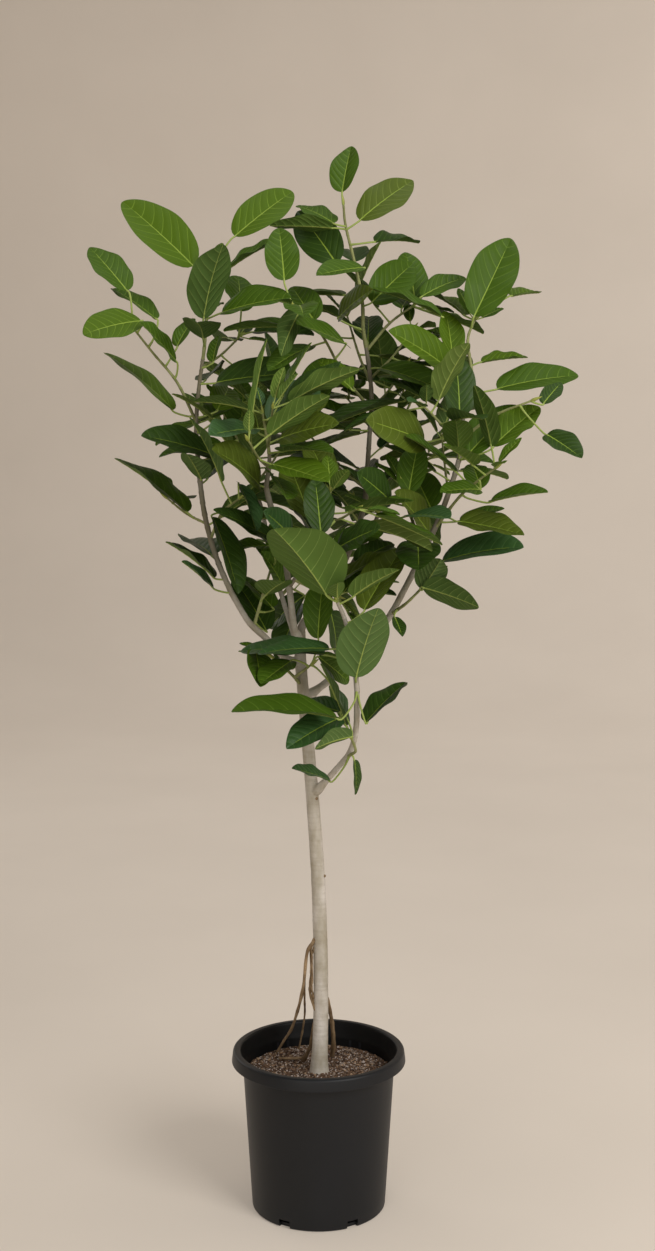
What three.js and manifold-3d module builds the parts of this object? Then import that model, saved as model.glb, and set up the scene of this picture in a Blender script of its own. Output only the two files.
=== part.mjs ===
// A potted ficus: a bare, leaning trunk with a few aerial roots, boughs that fork from it,
// masses of broad leaves on the boughs, and a round nursery pot filled with soil.
// Millimetres, +Z up. The origin is the middle of the pot's flat underside, and the front faces -Y.
import * as THREE from "three";
import { mergeVertices } from "three/addons/utils/BufferGeometryUtils.js";
import Module from "manifold-3d";

const wasm = await Module();
wasm.setup();

// Driving dimensions
const clearance = 0.3; // between neighbouring pieces

const pot = {
  height: 283.5,
  baseRadius: 117.4,
  shoulderRadius: 133, // outer wall where the lip begins
  shoulderHeight: 258,
  lipRadius: 152.5,
  lipTopRadius: 147.5,
  lipHeight: 21,
  lipWall: 3,
  mouthRadius: 136.6,
  wall: 2.6,
  floor: 6,
  corner: 2, // bevel of the bottom edge
  lipRound: 2.5, // bevels of the lip
  ledge: 1.5, // rise of the small step under the lip
  sides: 32,
  notches: 6, // drain notches in the bottom corner
  notchWidth: 20,
  notchHeight: 13,
  notchDepth: 16,
};

const soil = {
  level: 245, // top of the soil round the trunk
  edgeDrop: 3, // how much lower it lies at the wall
  flatRadius: 118,
};

// Limbs, foot to tip. A limb stands on its host's tip, or leaves the host's flank at the height given.
const limbs = {
  trunk: {
    sides: 14,
    radii: [13.8, 9.2],
    points: [
      [1, -12, 245.3], [4, -2, 370], [1, 0, 550], [-8, 0, 700],
      [-18, 0, 824], [-30, 0, 965], [-31, 0, 1020],
    ],
  },
  bough_left: {
    on: "trunk",
    height: 955,
    radii: [6.5, 5],
    points: [[-62, -5, 981], [-92, -15, 1014], [-118, -20, 1040], [-147, -24, 1090]],
  },
  bough_right: {
    on: "trunk",
    height: 903,
    radii: [6.6, 5.2],
    points: [[23, 30, 936], [72, 45, 982], [116, 40, 1032], [150, 25, 1095], [182, 8, 1163]],
  },
  bough_front: {
    on: "trunk",
    height: 735,
    radii: [5.4, 4.8],
    points: [[28, -35, 786], [53, -70, 826], [63, -95, 871], [64, -115, 938]],
  },
  bough_leader: {
    on: "trunk",
    radii: [7.6, 4.8],
    points: [[-23, 4, 1038], [3, 15, 1060], [24, 28, 1088], [54, 50, 1156]],
  },
  bough_centre: {
    on: "trunk",
    height: 985,
    radii: [6, 4.4],
    points: [[-42, -25, 1040], [-55, -60, 1148], [-78, -100, 1243], [-84, -110, 1271]],
  },
  bough_back_left: {
    on: "trunk",
    height: 978,
    radii: [5, 3.8],
    points: [[-45, 32, 1020], [-72, 80, 1100], [-95, 110, 1200]],
  },
  bough_back_right: {
    on: "bough_leader",
    height: 1085,
    radii: [4.4, 3.6],
    points: [[62, 75, 1135], [95, 115, 1190], [115, 140, 1240]],
  },
};
const rootFlare = { share: 0.28, height: 18 }; // the trunk's swelling at the soil
const sides = { bough: 8, aerialRoot: 7, gripRoot: 6, stem: 5, twig: 3 }; // the trunk has its own
const steps = { trunk: 4, limb: 2 }; // rings for each span between two points of the path

// Roots that leave the trunk above the soil and come down to it. Grip roots run down the trunk itself,
// or out from its foot over the soil.
const aerialRoots = {
  aerial_root_front: {
    on: "trunk",
    height: 493,
    radii: [3, 2.2],
    points: [
      [-18, -14, 466], [-22, -12, 445], [-26, -2, 400], [-32, 12, 366],
      [-40, 30, 331], [-49, 50, 299], [-62, 68, 272], [-75, 82, 245.3],
    ],
  },
  aerial_root_inner: {
    on: "aerial_root_front",
    height: 415,
    radii: [1.8, 1.5],
    points: [[-25, 30, 360], [-25, 50, 328], [-29, 79, 288], [-36, 103, 245.3]],
  },
};
const gripRoots = [
  {
    radii: [3, 4],
    points: [[8, -4, 392], [15, 0, 372], [21, 14, 339], [25, 32, 303], [26, 48, 271], [24, 63, 245.3]],
  },
  {
    radii: [2, 3.6],
    points: [[-4, -5, 345], [-9, -3, 325], [-12, 5, 303], [-15, 15, 280], [-21, 25, 262], [-28, 34, 245.3]],
  },
  { radii: [3, 1.8], points: [[-22, 27, 257], [-32, 36, 250.6], [-52, 40, 248.4], [-72, 44, 247.4]] },
  {
    radii: [2, 2.4],
    points: [[-6, -4, 470], [-13, -6, 450], [-12.5, -7, 425], [-15, -6, 398], [-14, -6, 380], [-6, -8, 355]],
  },
];

// Masses of leaves, foot to tip of each stem, in the order that they are carried. Each leaf shown sets
// the outline or the front: its foot x, y, z, heading, rise, roll, length, and width as a share of it
// where that isn't the usual one. The rest are seeded: so many leaves on the main stem, so many twigs.
const masses = {
  foliage_left_low: {
    on: "bough_left",
    radii: [4.8, 4.2],
    seed: 28,
    leaves: 3,
    sprigs: 1,
    stem: [[-166, -25, 1135], [-180, -25, 1177], [-192, -22, 1230], [-200, -12, 1290]],
    twigs: [
      { height: 1180, points: [[-160, -45, 1225], [-130, -70, 1250]] },
    ],
    shown: [
      [-220, -20, 1225, 160, 40, 0, 160], [-175, -25, 1115, 155, 40, 10, 110],
      [-175, -45, 1100, 225, 40, -40, 80], [-175, -65, 1220, 315, -55, -20, 140],
      [-130, -80, 1275, 300, -40, -30, 100],
    ],
  },
  foliage_left_top: {
    on: "foliage_left_low",
    radii: [4.2, 2],
    seed: 9,
    leaves: 5,
    sprigs: 1,
    stem: [[-205, 0, 1365], [-200, 0, 1430], [-190, 0, 1500], [-185, 10, 1570], [-178, 20, 1625]],
    twigs: [
      { height: 1375, points: [[-235, -10, 1440], [-275, -20, 1490], [-310, -25, 1535]] },
    ],
    shown: [
      [-210, 35, 1635, 170, 45, -50, 165], [-190, -15, 1545, 295, 65, 0, 140],
      [-140, 45, 1685, 25, 40, 40, 135], [-315, -25, 1590, 145, 45, -20, 115],
      [-290, -45, 1540, 225, -5, -40, 115], [-270, -10, 1545, 160, 35, 0, 110],
      [-235, -35, 1475, 235, 40, -60, 100], [-235, -5, 1500, 55, 55, 0, 65],
      [-245, 10, 1395, 160, 45, 0, 160], [-160, -10, 1555, 330, 15, 40, 130],
      [-130, 30, 1560, 95, 40, 20, 110], [-175, -10, 1475, 80, 60, -30, 55],
      [-175, -25, 1380, 180, 40, 0, 80], [-170, -10, 1440, 335, 10, 40, 145],
      [-170, 10, 1395, 75, 30, 30, 100], [-175, -25, 1320, 215, 20, -40, 135],
      [-195, -30, 1280, 260, 40, -10, 95],
    ],
  },
  foliage_right_low: {
    on: "bough_right",
    radii: [5.2, 4.2],
    seed: 20,
    leaves: 3,
    sprigs: 1,
    stem: [[205, 0, 1215], [226, -10, 1277], [236, -10, 1312]],
    twigs: [
      { height: 1195, points: [[235, -30, 1250], [265, -60, 1280], [290, -80, 1300]] },
    ],
    shown: [
      [265, -75, 1265, 220, 5, -30, 85], [285, -60, 1245, 325, 15, 20, 105],
      [235, -35, 1210, 335, -5, 30, 115], [240, 0, 1210, 10, 20, 10, 80], [210, 0, 1140, 335, 20, 30, 145],
      [270, -40, 1265, 105, 35, -10, 85],
    ],
  },
  foliage_right_top: {
    on: "foliage_right_low",
    radii: [4.2, 1.8],
    seed: 55,
    leaves: 4,
    sprigs: 1,
    stem: [[242, -10, 1378], [256, 0, 1450], [250, 5, 1510], [262, 15, 1545]],
    twigs: [
      { height: 1345, points: [[290, -40, 1385], [350, -60, 1410]] },
      { height: 1330, points: [[205, -40, 1370], [175, -60, 1400]] },
    ],
    shown: [
      [260, 0, 1550, 30, 60, 50, 155], [325, 30, 1585, 50, 10, 10, 90], [300, 0, 1430, 10, 15, 30, 145],
      [275, 25, 1475, 15, -5, 20, 85], [225, 15, 1480, 95, 65, 20, 95], [235, -25, 1385, 95, 70, 10, 110],
      [215, 0, 1465, 220, 30, -70, 130], [370, -60, 1405, 45, 40, 20, 60],
      [250, -20, 1320, 35, 45, 30, 135], [290, -45, 1335, 35, 40, 30, 115],
      [375, -70, 1355, 305, -20, 30, 90], [175, -60, 1345, 230, 15, -70, 140],
    ],
  },
  foliage_leader_low: {
    on: "bough_leader",
    radii: [4.8, 4.2],
    seed: 47,
    leaves: 7,
    sprigs: 3,
    stem: [[70, 57, 1200], [80, 60, 1241], [85, 60, 1310]],
  },
  foliage_leader_mid: {
    on: "foliage_leader_low",
    radii: [4.2, 3.4],
    seed: 3,
    leaves: 6,
    sprigs: 2,
    stem: [[88, 60, 1360], [91, 60, 1412], [86, 60, 1470], [76, 55, 1530]],
    twigs: [
      { height: 1395, points: [[45, 20, 1450], [5, -20, 1520], [-40, -50, 1565]] },
      { height: 1495, points: [[120, 60, 1540], [160, 60, 1570]] },
      { height: 1440, points: [[70, 120, 1490], [50, 175, 1560]] },
    ],
    shown: [
      [165, 80, 1580, 100, 60, 10, 105], [175, 45, 1585, 25, 30, 30, 95], [205, 0, 1550, 175, 30, -10, 130],
      [35, 50, 1550, 300, 30, 70, 100], [-55, -50, 1605, 100, 65, -10, 105],
      [-10, -20, 1500, 225, -15, -10, 105], [-30, -60, 1555, 230, -50, 90, 95],
      [45, -5, 1505, 220, 15, -40, 135], [-45, -40, 1530, 160, 5, -10, 120],
      [55, -25, 1430, 160, 45, -30, 75, 0.7], [35, 60, 1455, 230, -15, -20, 110],
      [65, 100, 1380, 150, 20, -10, 100], [140, 25, 1410, 215, -10, 0, 170],
      [105, 50, 1465, 325, -10, 20, 130],
    ],
  },
  foliage_crown_top: {
    on: "foliage_leader_mid",
    radii: [3.4, 1.8],
    seed: 17,
    leaves: 4,
    sprigs: 0,
    stem: [[74, 50, 1580], [62, 40, 1637], [46, 30, 1700], [42, 25, 1735]],
    shown: [
      [40, 25, 1755, 75, 60, -10, 100], [70, 30, 1710, 25, 40, 40, 125], [30, 40, 1640, 140, 50, -50, 130],
      [25, 30, 1705, 145, 30, -10, 95], [95, 35, 1675, 35, 10, 20, 100], [75, 10, 1630, 215, -5, -30, 95],
      [90, 40, 1575, 35, 40, 60, 125],
    ],
  },
  foliage_centre: {
    on: "bough_centre",
    radii: [4.2, 2],
    seed: 26,
    leaves: 4,
    sprigs: 2,
    stem: [[-78, -130, 1320], [-88, -140, 1390]],
    shown: [
      [-80, -145, 1380, 50, 30, 50, 115, 0.6], [-95, -125, 1360, 100, 40, 10, 95],
      [-60, -150, 1350, 320, 25, 50, 115], [-100, -150, 1365, 235, 0, -20, 115],
      [-95, -120, 1275, 245, 30, -70, 140],
    ],
  },
  foliage_centre_right: {
    on: "bough_centre",
    height: 1100,
    radii: [3.4, 2],
    seed: 28,
    leaves: 4,
    sprigs: 1,
    stem: [[-20, -100, 1150], [0, -130, 1195], [15, -140, 1230], [20, -145, 1265]],
    twigs: [
      { height: 1115, points: [[-5, -72, 1100], [30, -62, 1088]] },
    ],
    shown: [
      [5, -180, 1200, 105, 70, 0, 95], [30, -165, 1175, 310, 25, 60, 105],
      [-45, -150, 1195, 245, 30, -90, 90], [43, -60, 1094, 54, 35, 0, 85], [65, -15, 1139, 37, 27, 20, 90],
    ],
  },
  foliage_front: {
    on: "bough_front",
    radii: [4.6, 3],
    seed: 45,
    leaves: 2,
    sprigs: 0,
    stem: [[58, -130, 1000], [45, -150, 1055], [31, -160, 1090]],
    shown: [
      [14, -175, 1102, 230, 52, 20, 163, 0.83], [62, -135, 962, 310, 71, -19, 131, 0.71],
      [80, -115, 885, 55, 35, -10, 115], [75, -150, 1075, 45, 50, 10, 130],
      [10, -100, 995, 165, 10, -10, 145], [31, -160, 900, 195, 15, -10, 175],
      [29, -130, 1173, 33, 22, 25, 98],
    ],
  },
  foliage_front_low: {
    on: "bough_front",
    height: 812,
    radii: [2.8, 2],
    seed: 47,
    leaves: 1,
    sprigs: 0,
    stem: [[62, -105, 835], [55, -130, 860]],
    shown: [
      [55, -140, 865, 220, 0, 50, 85], [35, -110, 890, 240, -10, -20, 120],
      [60, -85, 815, 355, -80, 20, 60], [20, -60, 775, 205, 25, -20, 75],
      [36, -85, 896, 140, 10, -20, 90, 0.5],
    ],
  },
  foliage_left_inner: {
    on: "bough_left",
    height: 1030,
    radii: [3, 2],
    seed: 57,
    leaves: 3,
    sprigs: 1,
    stem: [[-95, -5, 1080], [-80, 15, 1130]],
    twigs: [
      { height: 1100, points: [[-60, 45, 1095], [-42, 65, 1085]] },
    ],
    shown: [
      [-90, 20, 1020, 125, 45, 0, 125], [-85, -65, 1180, 225, 35, -40, 90],
      [-80, 35, 1058, 131, 26, 5, 105], [-25, 62, 1075, 155, -35, -60, 100, 0.5],
      [-61, 28, 1095, 242, 41, -85, 85, 0.6], [-86, 25, 1164, 225, 5, -20, 90],
    ],
  },
  foliage_low_left: {
    on: "trunk",
    height: 925,
    radii: [3, 2],
    seed: 9,
    leaves: 2,
    sprigs: 0,
    stem: [[-45, -25, 950], [-75, -40, 980]],
    twigs: [
      { height: 945, points: [[-24, -42, 960], [-12, -47, 970]] },
    ],
    shown: [
      [-105, -55, 995, 280, -25, -20, 95], [-45, -70, 980, 240, -20, -10, 95],
      [0, -50, 984, 34, -35, 60, 85, 0.6], [21, -32, 932, 47, -62, -5, 80, 0.42],
    ],
  },
  foliage_right_under: {
    on: "bough_right",
    height: 1045,
    radii: [3, 2],
    seed: 67,
    leaves: 0,
    sprigs: 0,
    stem: [[150, -5, 1070], [172, -25, 1095]],
    shown: [
      [175, -30, 1095, 300, 45, -30, 85, 0.66], [175, -40, 1100, 330, -10, -60, 110],
      [130, 0, 1045, 290, -35, 0, 45],
    ],
  },
  foliage_right_inner: {
    on: "bough_right",
    height: 1140,
    radii: [3.2, 2],
    seed: 44,
    leaves: 3,
    sprigs: 1,
    stem: [[165, -30, 1190], [150, -45, 1230], [140, -50, 1270]],
    shown: [
      [150, -60, 1260, 50, 55, 10, 95], [120, -55, 1245, 235, 30, -80, 100, 0.6],
      [185, -30, 1190, 230, 40, -80, 115],
    ],
  },
  foliage_back_left: {
    on: "bough_back_left",
    radii: [3.8, 2],
    seed: 96,
    leaves: 8,
    sprigs: 4,
    stem: [[-115, 150, 1290], [-110, 190, 1390]],
  },
  foliage_back_right: {
    on: "bough_back_right",
    radii: [3.6, 2],
    seed: 86,
    leaves: 8,
    sprigs: 4,
    stem: [[140, 175, 1320], [150, 190, 1420]],
  },
  foliage_back_low: {
    on: "bough_back_left",
    height: 1075,
    radii: [3, 2],
    seed: 96,
    leaves: 5,
    sprigs: 1,
    stem: [[-30, 125, 1110], [5, 165, 1150]],
    twigs: [
      { height: 1105, points: [[-5, 95, 1075]] },
    ],
    shown: [
      [20, 70, 1046, 64, -57, 105, 100],
    ],
  },
};

// The growth rule's sizes: angles in degrees, and shares of the stem's or leaf's length
const growth = {
  crown: { middle: [25, 10, 1330], reach: [350, 290, 430] }, // seeded growth stays inside this
  goldenAngle: 137.5,
  gap: 2.5, // clear space round a leaf
  stalkGap: 3, // clear space round a leaf's stalk
  stalk: [28, 50],
  leafSize: 132, // at a stem's foot
  tipLoss: 22, // how much smaller leaves are at its tip
  spread: [0.85, 1.1],
  tilt: 72, // between a stalk and its stem, at the stem's foot
  tipTilt: 38,
  roll: 30,
  droop: 0.35,
  tries: 6,
  nudge: 24,
  twigLeaves: 3,
  twigRadii: [2.8, 1.7],
  twigTurn: 70, // how far the leaves of each next stem of a mass are turned
  bare: { stem: 0.12, twig: 0.3 }, // share of a stem below its first leaf
  tiltSpread: 8,
  outward: 0.5, // how much a blade turns away from its stem
  sprigReach: [70, 125],
  sprigRadii: [2.4, 1.6],
  sprigPlaces: [0.25, 0.85], // the part of the main stem that carries twigs
  sprigForward: 0.6,
  sprigKnee: 0.04, // rise of a twig half way along, and at its tip
  sprigRise: 0.2,
  sprigTries: 5,
  sprigTurn: 40,
  sprigRoom: 4,
  blockSteps: { limb: 12, twig: 6, sprig: 3 }, // straight bits that stand for a path when leaves seek room
  twigRoom: 2.2, // radius of such a bit on a twig, and on a seeded twig
  sprigBitRoom: 2,
};
const leafShape = {
  arch: THREE.MathUtils.degToRad(12), // bend from foot to tip
  fold: THREE.MathUtils.degToRad(14), // lift of each half beside the midrib
  broad: 0.56, // width as a share of the length
  thick: 0.018, // thickness at the midrib as a share of the length
  stalkRadius: 1.6,
  rootShare: 0.6, // how much thinner the stalk is where it is sunk in the stem
  stalkBend: 0.45, // where a stalk bends, as a share of its reach back from the blade
  straightStalk: 0.8, // cosine of the most that an unbent stalk and its blade may differ
  shownStations: [0.14, 0.46, 0.82], // cross-sections of the leaves that make the outline
  plainStations: [0.24, 0.7], // and of the others
};
// Small turns of heading and rise that free a leaf from its neighbours
const freeTurns = [
  [0, 0], [8, 0], [-8, 0], [0, 8], [0, -8], [16, 0], [-16, 0],
  [0, 16], [0, -16], [16, 12], [-16, 12], [16, -12], [-16, -12],
];

const slots = {
  pot_plastic: { color: 0x1b1c20, roughness: 0.6, metalness: 0 },
  potting_soil: { color: 0x4a382e, roughness: 0.95, metalness: 0 },
  bark: { color: 0x9c9184, roughness: 0.85, metalness: 0 },
  foliage: { color: 0x3f6437, roughness: 0.5, metalness: 0 },
};

// Vectors are plain [x, y, z] arrays
const down = [0, 0, -1];
const { degToRad, clamp } = THREE.MathUtils;
const add = (a, b) => [a[0] + b[0], a[1] + b[1], a[2] + b[2]];
const sub = (a, b) => [a[0] - b[0], a[1] - b[1], a[2] - b[2]];
const mul = (a, k) => [a[0] * k, a[1] * k, a[2] * k];
const dot = (a, b) => a[0] * b[0] + a[1] * b[1] + a[2] * b[2];
const cross = (a, b) => [
  a[1] * b[2] - a[2] * b[1],
  a[2] * b[0] - a[0] * b[2],
  a[0] * b[1] - a[1] * b[0],
];
const length = (a) => Math.sqrt(dot(a, a));
const unit = (a) => mul(a, 1 / length(a));
const lerp = (range, t) => range[0] + (range[1] - range[0]) * t;
const toward = (heading, rise) => {
  const [h, r] = [degToRad(heading), degToRad(rise)];
  return [Math.cos(h) * Math.cos(r), Math.sin(h) * Math.cos(r), Math.sin(r)];
};

// v carried along by the smallest turn that brings one direction onto another
function turned(v, from, to) {
  const axis = cross(from, to);
  const c = dot(from, to);
  return add(add(mul(v, c), cross(axis, v)), mul(axis, dot(axis, v) / (1 + c)));
}

// A direction square to the axis, at an angle round it
function across(axis, angle) {
  const first = unit(cross(axis, Math.abs(axis[2]) < 0.95 ? [0, 0, 1] : [1, 0, 0]));
  const second = cross(axis, first);
  const a = degToRad(angle);
  return add(mul(first, Math.cos(a)), mul(second, Math.sin(a)));
}

// Seeded numbers, the same on every run
function dice(seed) {
  const span = 2 ** 32;
  let state = seed * 7919 + 17;
  return (low, high) => {
    state = (state * 1664525 + 1013904223) % span;
    return low + ((high - low) * state) / span;
  };
}

// A smooth curve through the points, t from 0 at the foot to 1 at the tip
function pathPoint(points, t) {
  const last = points.length - 1;
  const s = clamp(t, 0, 1) * last;
  const i = Math.min(Math.floor(s), last - 1);
  const f = s - i;
  const p1 = points[i];
  const p2 = points[i + 1];
  const p0 = i > 0 ? points[i - 1] : sub(mul(p1, 2), p2);
  const p3 = i + 2 <= last ? points[i + 2] : sub(mul(p2, 2), p1);
  return [0, 1, 2].map((k) => {
    const a = 2 * p1[k];
    const b = p2[k] - p0[k];
    const c = 2 * p0[k] - 5 * p1[k] + 4 * p2[k] - p3[k];
    const d = 3 * p1[k] - p0[k] - 3 * p2[k] + p3[k];
    return 0.5 * (a + b * f + c * f * f + d * f * f * f);
  });
}

function pathWay(points, t) {
  const step = 0.01;
  return unit(sub(pathPoint(points, Math.min(t + step, 1)), pathPoint(points, Math.max(t - step, 0))));
}

// Where the curve passes a height, by halving
function shareAtHeight(points, z) {
  let low = 0;
  let high = 1;
  for (let i = 0; i < 40; i++) {
    const middle = (low + high) / 2;
    if (pathPoint(points, middle)[2] < z === points.at(-1)[2] > points[0][2]) low = middle;
    else high = middle;
  }
  return (low + high) / 2;
}

function pieces(points, count) {
  const stops = Array.from({ length: count + 1 }, (_, i) => pathPoint(points, i / count));
  return stops.slice(1).map((end, i) => [stops[i], end]);
}

// Where a limb or stem starts: clear of its host's tip, or of the host's flank
function seat(host, part, first) {
  if (part.height === undefined) {
    const way = pathWay(host.points, 1);
    return { foot: add(host.points.at(-1), mul(way, clearance)), way };
  }
  const t = shareAtHeight(host.points, part.height);
  const centre = pathPoint(host.points, t);
  const way = unit(sub(first, centre));
  const lean = Math.abs(dot(way, pathWay(host.points, t)));
  const out = (lerp(host.radii, t) + clearance + part.radii[0] * lean) / Math.sqrt(1 - lean * lean);
  return { foot: add(centre, mul(way, out)), way };
}

function growLimb(host, part, points) {
  const { foot, way } = seat(host, part, points[0]);
  return { points: [foot, ...points], radii: part.radii, way };
}

// Every limb's and main stem's course, by name
function growCourses() {
  const courses = {};
  for (const [name, limb] of Object.entries({ ...limbs, ...aerialRoots })) {
    courses[name] = limb.on
      ? growLimb(courses[limb.on], limb, limb.points)
      : { points: limb.points, radii: limb.radii, way: [0, 0, 1] };
  }
  for (const [name, mass] of Object.entries(masses)) {
    courses[name] = growLimb(courses[mass.on], mass, mass.stem);
  }
  return courses;
}

// A mass's stems: the main one, then the twigs that leave it
function growStems(mass, main) {
  const twigs = (mass.twigs ?? []).map((twig) => {
    const t = shareAtHeight(main.points, twig.height);
    const root = pathPoint(main.points, t);
    const [thickest, tip] = growth.twigRadii;
    return {
      points: [root, ...twig.points],
      radii: [Math.min(thickest, lerp(main.radii, t)), tip],
      way: unit(sub(twig.points[0], root)),
    };
  });
  return [main, ...twigs];
}

// Half the blade's width at u of its length
function bladeHalf(blade, u) {
  return u > 0 && u < 1 ? 0.5 * blade.width * Math.sin(Math.PI * u ** 0.86) ** 0.62 : 0;
}

// A point of the blade: u runs from foot to tip, v from -1 to 1 across, rise off its middle surface
function bladePoint(blade, u, v, rise = 0) {
  const turn = leafShape.arch * u;
  const along = (blade.size * Math.sin(turn)) / leafShape.arch;
  const drop = (blade.size * (1 - Math.cos(turn))) / leafShape.arch;
  const half = bladeHalf(blade, u);
  const lift = half * Math.abs(v) * Math.sin(leafShape.fold) + rise;
  const spine = add(blade.foot, mul(blade.way, along + lift * Math.sin(turn)));
  const beside = add(spine, mul(blade.side, half * v * Math.cos(leafShape.fold)));
  return add(beside, mul(blade.face, lift * Math.cos(turn) - drop));
}

// A leaf's place, with the net of lines across its blade that the clearance test uses
function makeBlade(root, foot, way, roll, size, broad = leafShape.broad, shown = false) {
  const stations = shown ? leafShape.shownStations : leafShape.plainStations;
  const level = unit(sub([0, 0, 1], mul(way, way[2])));
  const r = degToRad(roll);
  const face = add(mul(level, Math.cos(r)), mul(cross(way, level), Math.sin(r)));
  const blade = { root, foot, way, face, side: cross(way, face), size, width: size * broad, stations };
  const rows = [0.06, 0.25, 0.5, 0.75, 0.95].map((u) =>
    [-1, -0.5, 0, 0.5, 1].map((v) => bladePoint(blade, u, v)));
  const columns = rows[0].map((_, i) => rows.map((row) => row[i]));
  blade.net = [...rows, ...columns].flatMap((line) => line.slice(1).map((end, i) => [line[i], end]));
  blade.middle = bladePoint(blade, 0.5, 0);
  return blade;
}

// A point in the blade's own terms: share of its length, distance aside, height over its surface
function overBlade(blade, p) {
  const q = sub(p, blade.foot);
  const u = dot(q, blade.way) / blade.size;
  const y = dot(q, blade.side);
  const sag = (blade.size * leafShape.arch * u * u) / 2;
  return [u, y, dot(q, blade.face) + sag - Math.abs(y) * Math.tan(leafShape.fold)];
}

// Whether the line from a to b comes within room of the blade
function cuts(blade, a, b, room) {
  const [ua, ya, za] = overBlade(blade, a);
  const [ub, yb, zb] = overBlade(blade, b);
  const inside = (u, y, z) =>
    Math.abs(z) < room && u > 0 && u < 1 && Math.abs(y) < bladeHalf(blade, u) + room;
  if (inside(ua, ya, za) || inside(ub, yb, zb)) return true;
  if (za * zb >= 0) return false;
  const k = za / (za - zb);
  const u = ua + (ub - ua) * k;
  const y = ya + (yb - ya) * k;
  const margin = room / blade.size;
  return u > -margin && u < 1 + margin && Math.abs(y) < bladeHalf(blade, clamp(u, 0.02, 0.98)) + room;
}

const near = (p, q, reach) => sub(p, q).every((d) => Math.abs(d) < reach);

// Whether a leaf would touch another leaf, its stalk, or a bar (a straight bit of limb or twig)
function clashes(blade, blades, bars) {
  const meets = (other) =>
    near(blade.middle, other.middle, (blade.size + other.size) * 0.6) &&
    (blade.net.some(([a, b]) => cuts(other, a, b, growth.gap)) ||
      other.net.some(([a, b]) => cuts(blade, a, b, growth.gap)) ||
      cuts(other, blade.root, blade.foot, growth.stalkGap) ||
      cuts(blade, other.root, other.foot, growth.stalkGap));
  const crosses = ([a, b, radius]) =>
    near(blade.middle, a, blade.size * 0.75 + 30) && cuts(blade, a, b, radius + growth.gap);
  return blades.some(meets) || bars.some(crosses);
}

// The stem, and the share of it, that comes closest to a point
function closestStem(stems, p) {
  let best = { distance: Infinity };
  for (const stem of stems) {
    for (let i = 0; i <= 40; i++) {
      const distance = length(sub(pathPoint(stem.points, i / 40), p));
      if (distance < best.distance) best = { distance, stem, t: i / 40 };
    }
  }
  return best;
}

// One of the leaves that make the crown's outline and front, on a stalk from the closest stem
function placeLeaf(stems, row, blades, bars) {
  const [x, y, z, heading, rise, roll, size, broad] = row;
  const foot = [x, y, z];
  const { distance, stem, t } = closestStem(stems, foot);
  const span = length(sub(stem.points.at(-1), stem.points[0]));
  const root = pathPoint(stem.points, Math.max(t - (leafShape.stalkBend * distance) / span, 0));
  for (const [moreHeading, moreRise] of freeTurns) {
    const way = toward(heading + moreHeading, rise + moreRise);
    const blade = makeBlade(root, foot, way, roll, size, broad, true);
    if (!clashes(blade, blades, bars)) return blade;
  }
  return undefined;
}

const inCrown = (p) => {
  const { middle, reach } = growth.crown;
  return length(p.map((c, i) => (c - middle[i]) / reach[i])) < 1;
};

// A seeded leaf at t of a stem, on the side that the angle gives or on one beside it
function sproutLeaf(stem, t, angle, draw, size, blades, bars) {
  const axis = pathWay(stem.points, t);
  const root = pathPoint(stem.points, t);
  for (let k = 0; k < growth.tries; k++) {
    const lean = lerp([growth.tilt, growth.tipTilt], t) + draw(-growth.tiltSpread, growth.tiltSpread);
    const tilt = degToRad(lean);
    const radial = across(axis, angle + growth.nudge * k * (k % 2 ? 1 : -1));
    const stalkWay = unit(add(mul(axis, Math.cos(tilt)), mul(radial, Math.sin(tilt))));
    const foot = add(root, mul(stalkWay, draw(...growth.stalk)));
    const sway = [0, 0, draw(-growth.droop, growth.droop)];
    const way = unit(add(add(stalkWay, mul(radial, growth.outward)), sway));
    const roll = draw(-growth.roll, growth.roll);
    const blade = makeBlade(root, foot, way, roll, size * draw(...growth.spread));
    if (inCrown(bladePoint(blade, 1, 0)) && !clashes(blade, blades, bars)) return blade;
  }
  return undefined;
}

// A seeded twig that leaves the main stem, where it stays in the crown and misses the leaves
function sproutSprig(main, t, angle, draw, blades) {
  const axis = pathWay(main.points, t);
  const root = pathPoint(main.points, t);
  for (let turn = 0; turn < growth.sprigTries; turn++) {
    const way = unit(add(mul(axis, growth.sprigForward), across(axis, angle + growth.sprigTurn * turn)));
    const reach = draw(...growth.sprigReach);
    const knee = add(add(root, mul(way, reach / 2)), [0, 0, reach * growth.sprigKnee]);
    const tip = add(add(root, mul(way, reach)), [0, 0, reach * growth.sprigRise]);
    const points = [root, knee, tip];
    const free = pieces(points, 4).every(([a, b]) =>
      !blades.some((blade) => cuts(blade, a, b, growth.sprigRoom)));
    if (inCrown(tip) && free) return { points, radii: growth.sprigRadii, way };
  }
  return undefined;
}

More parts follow.
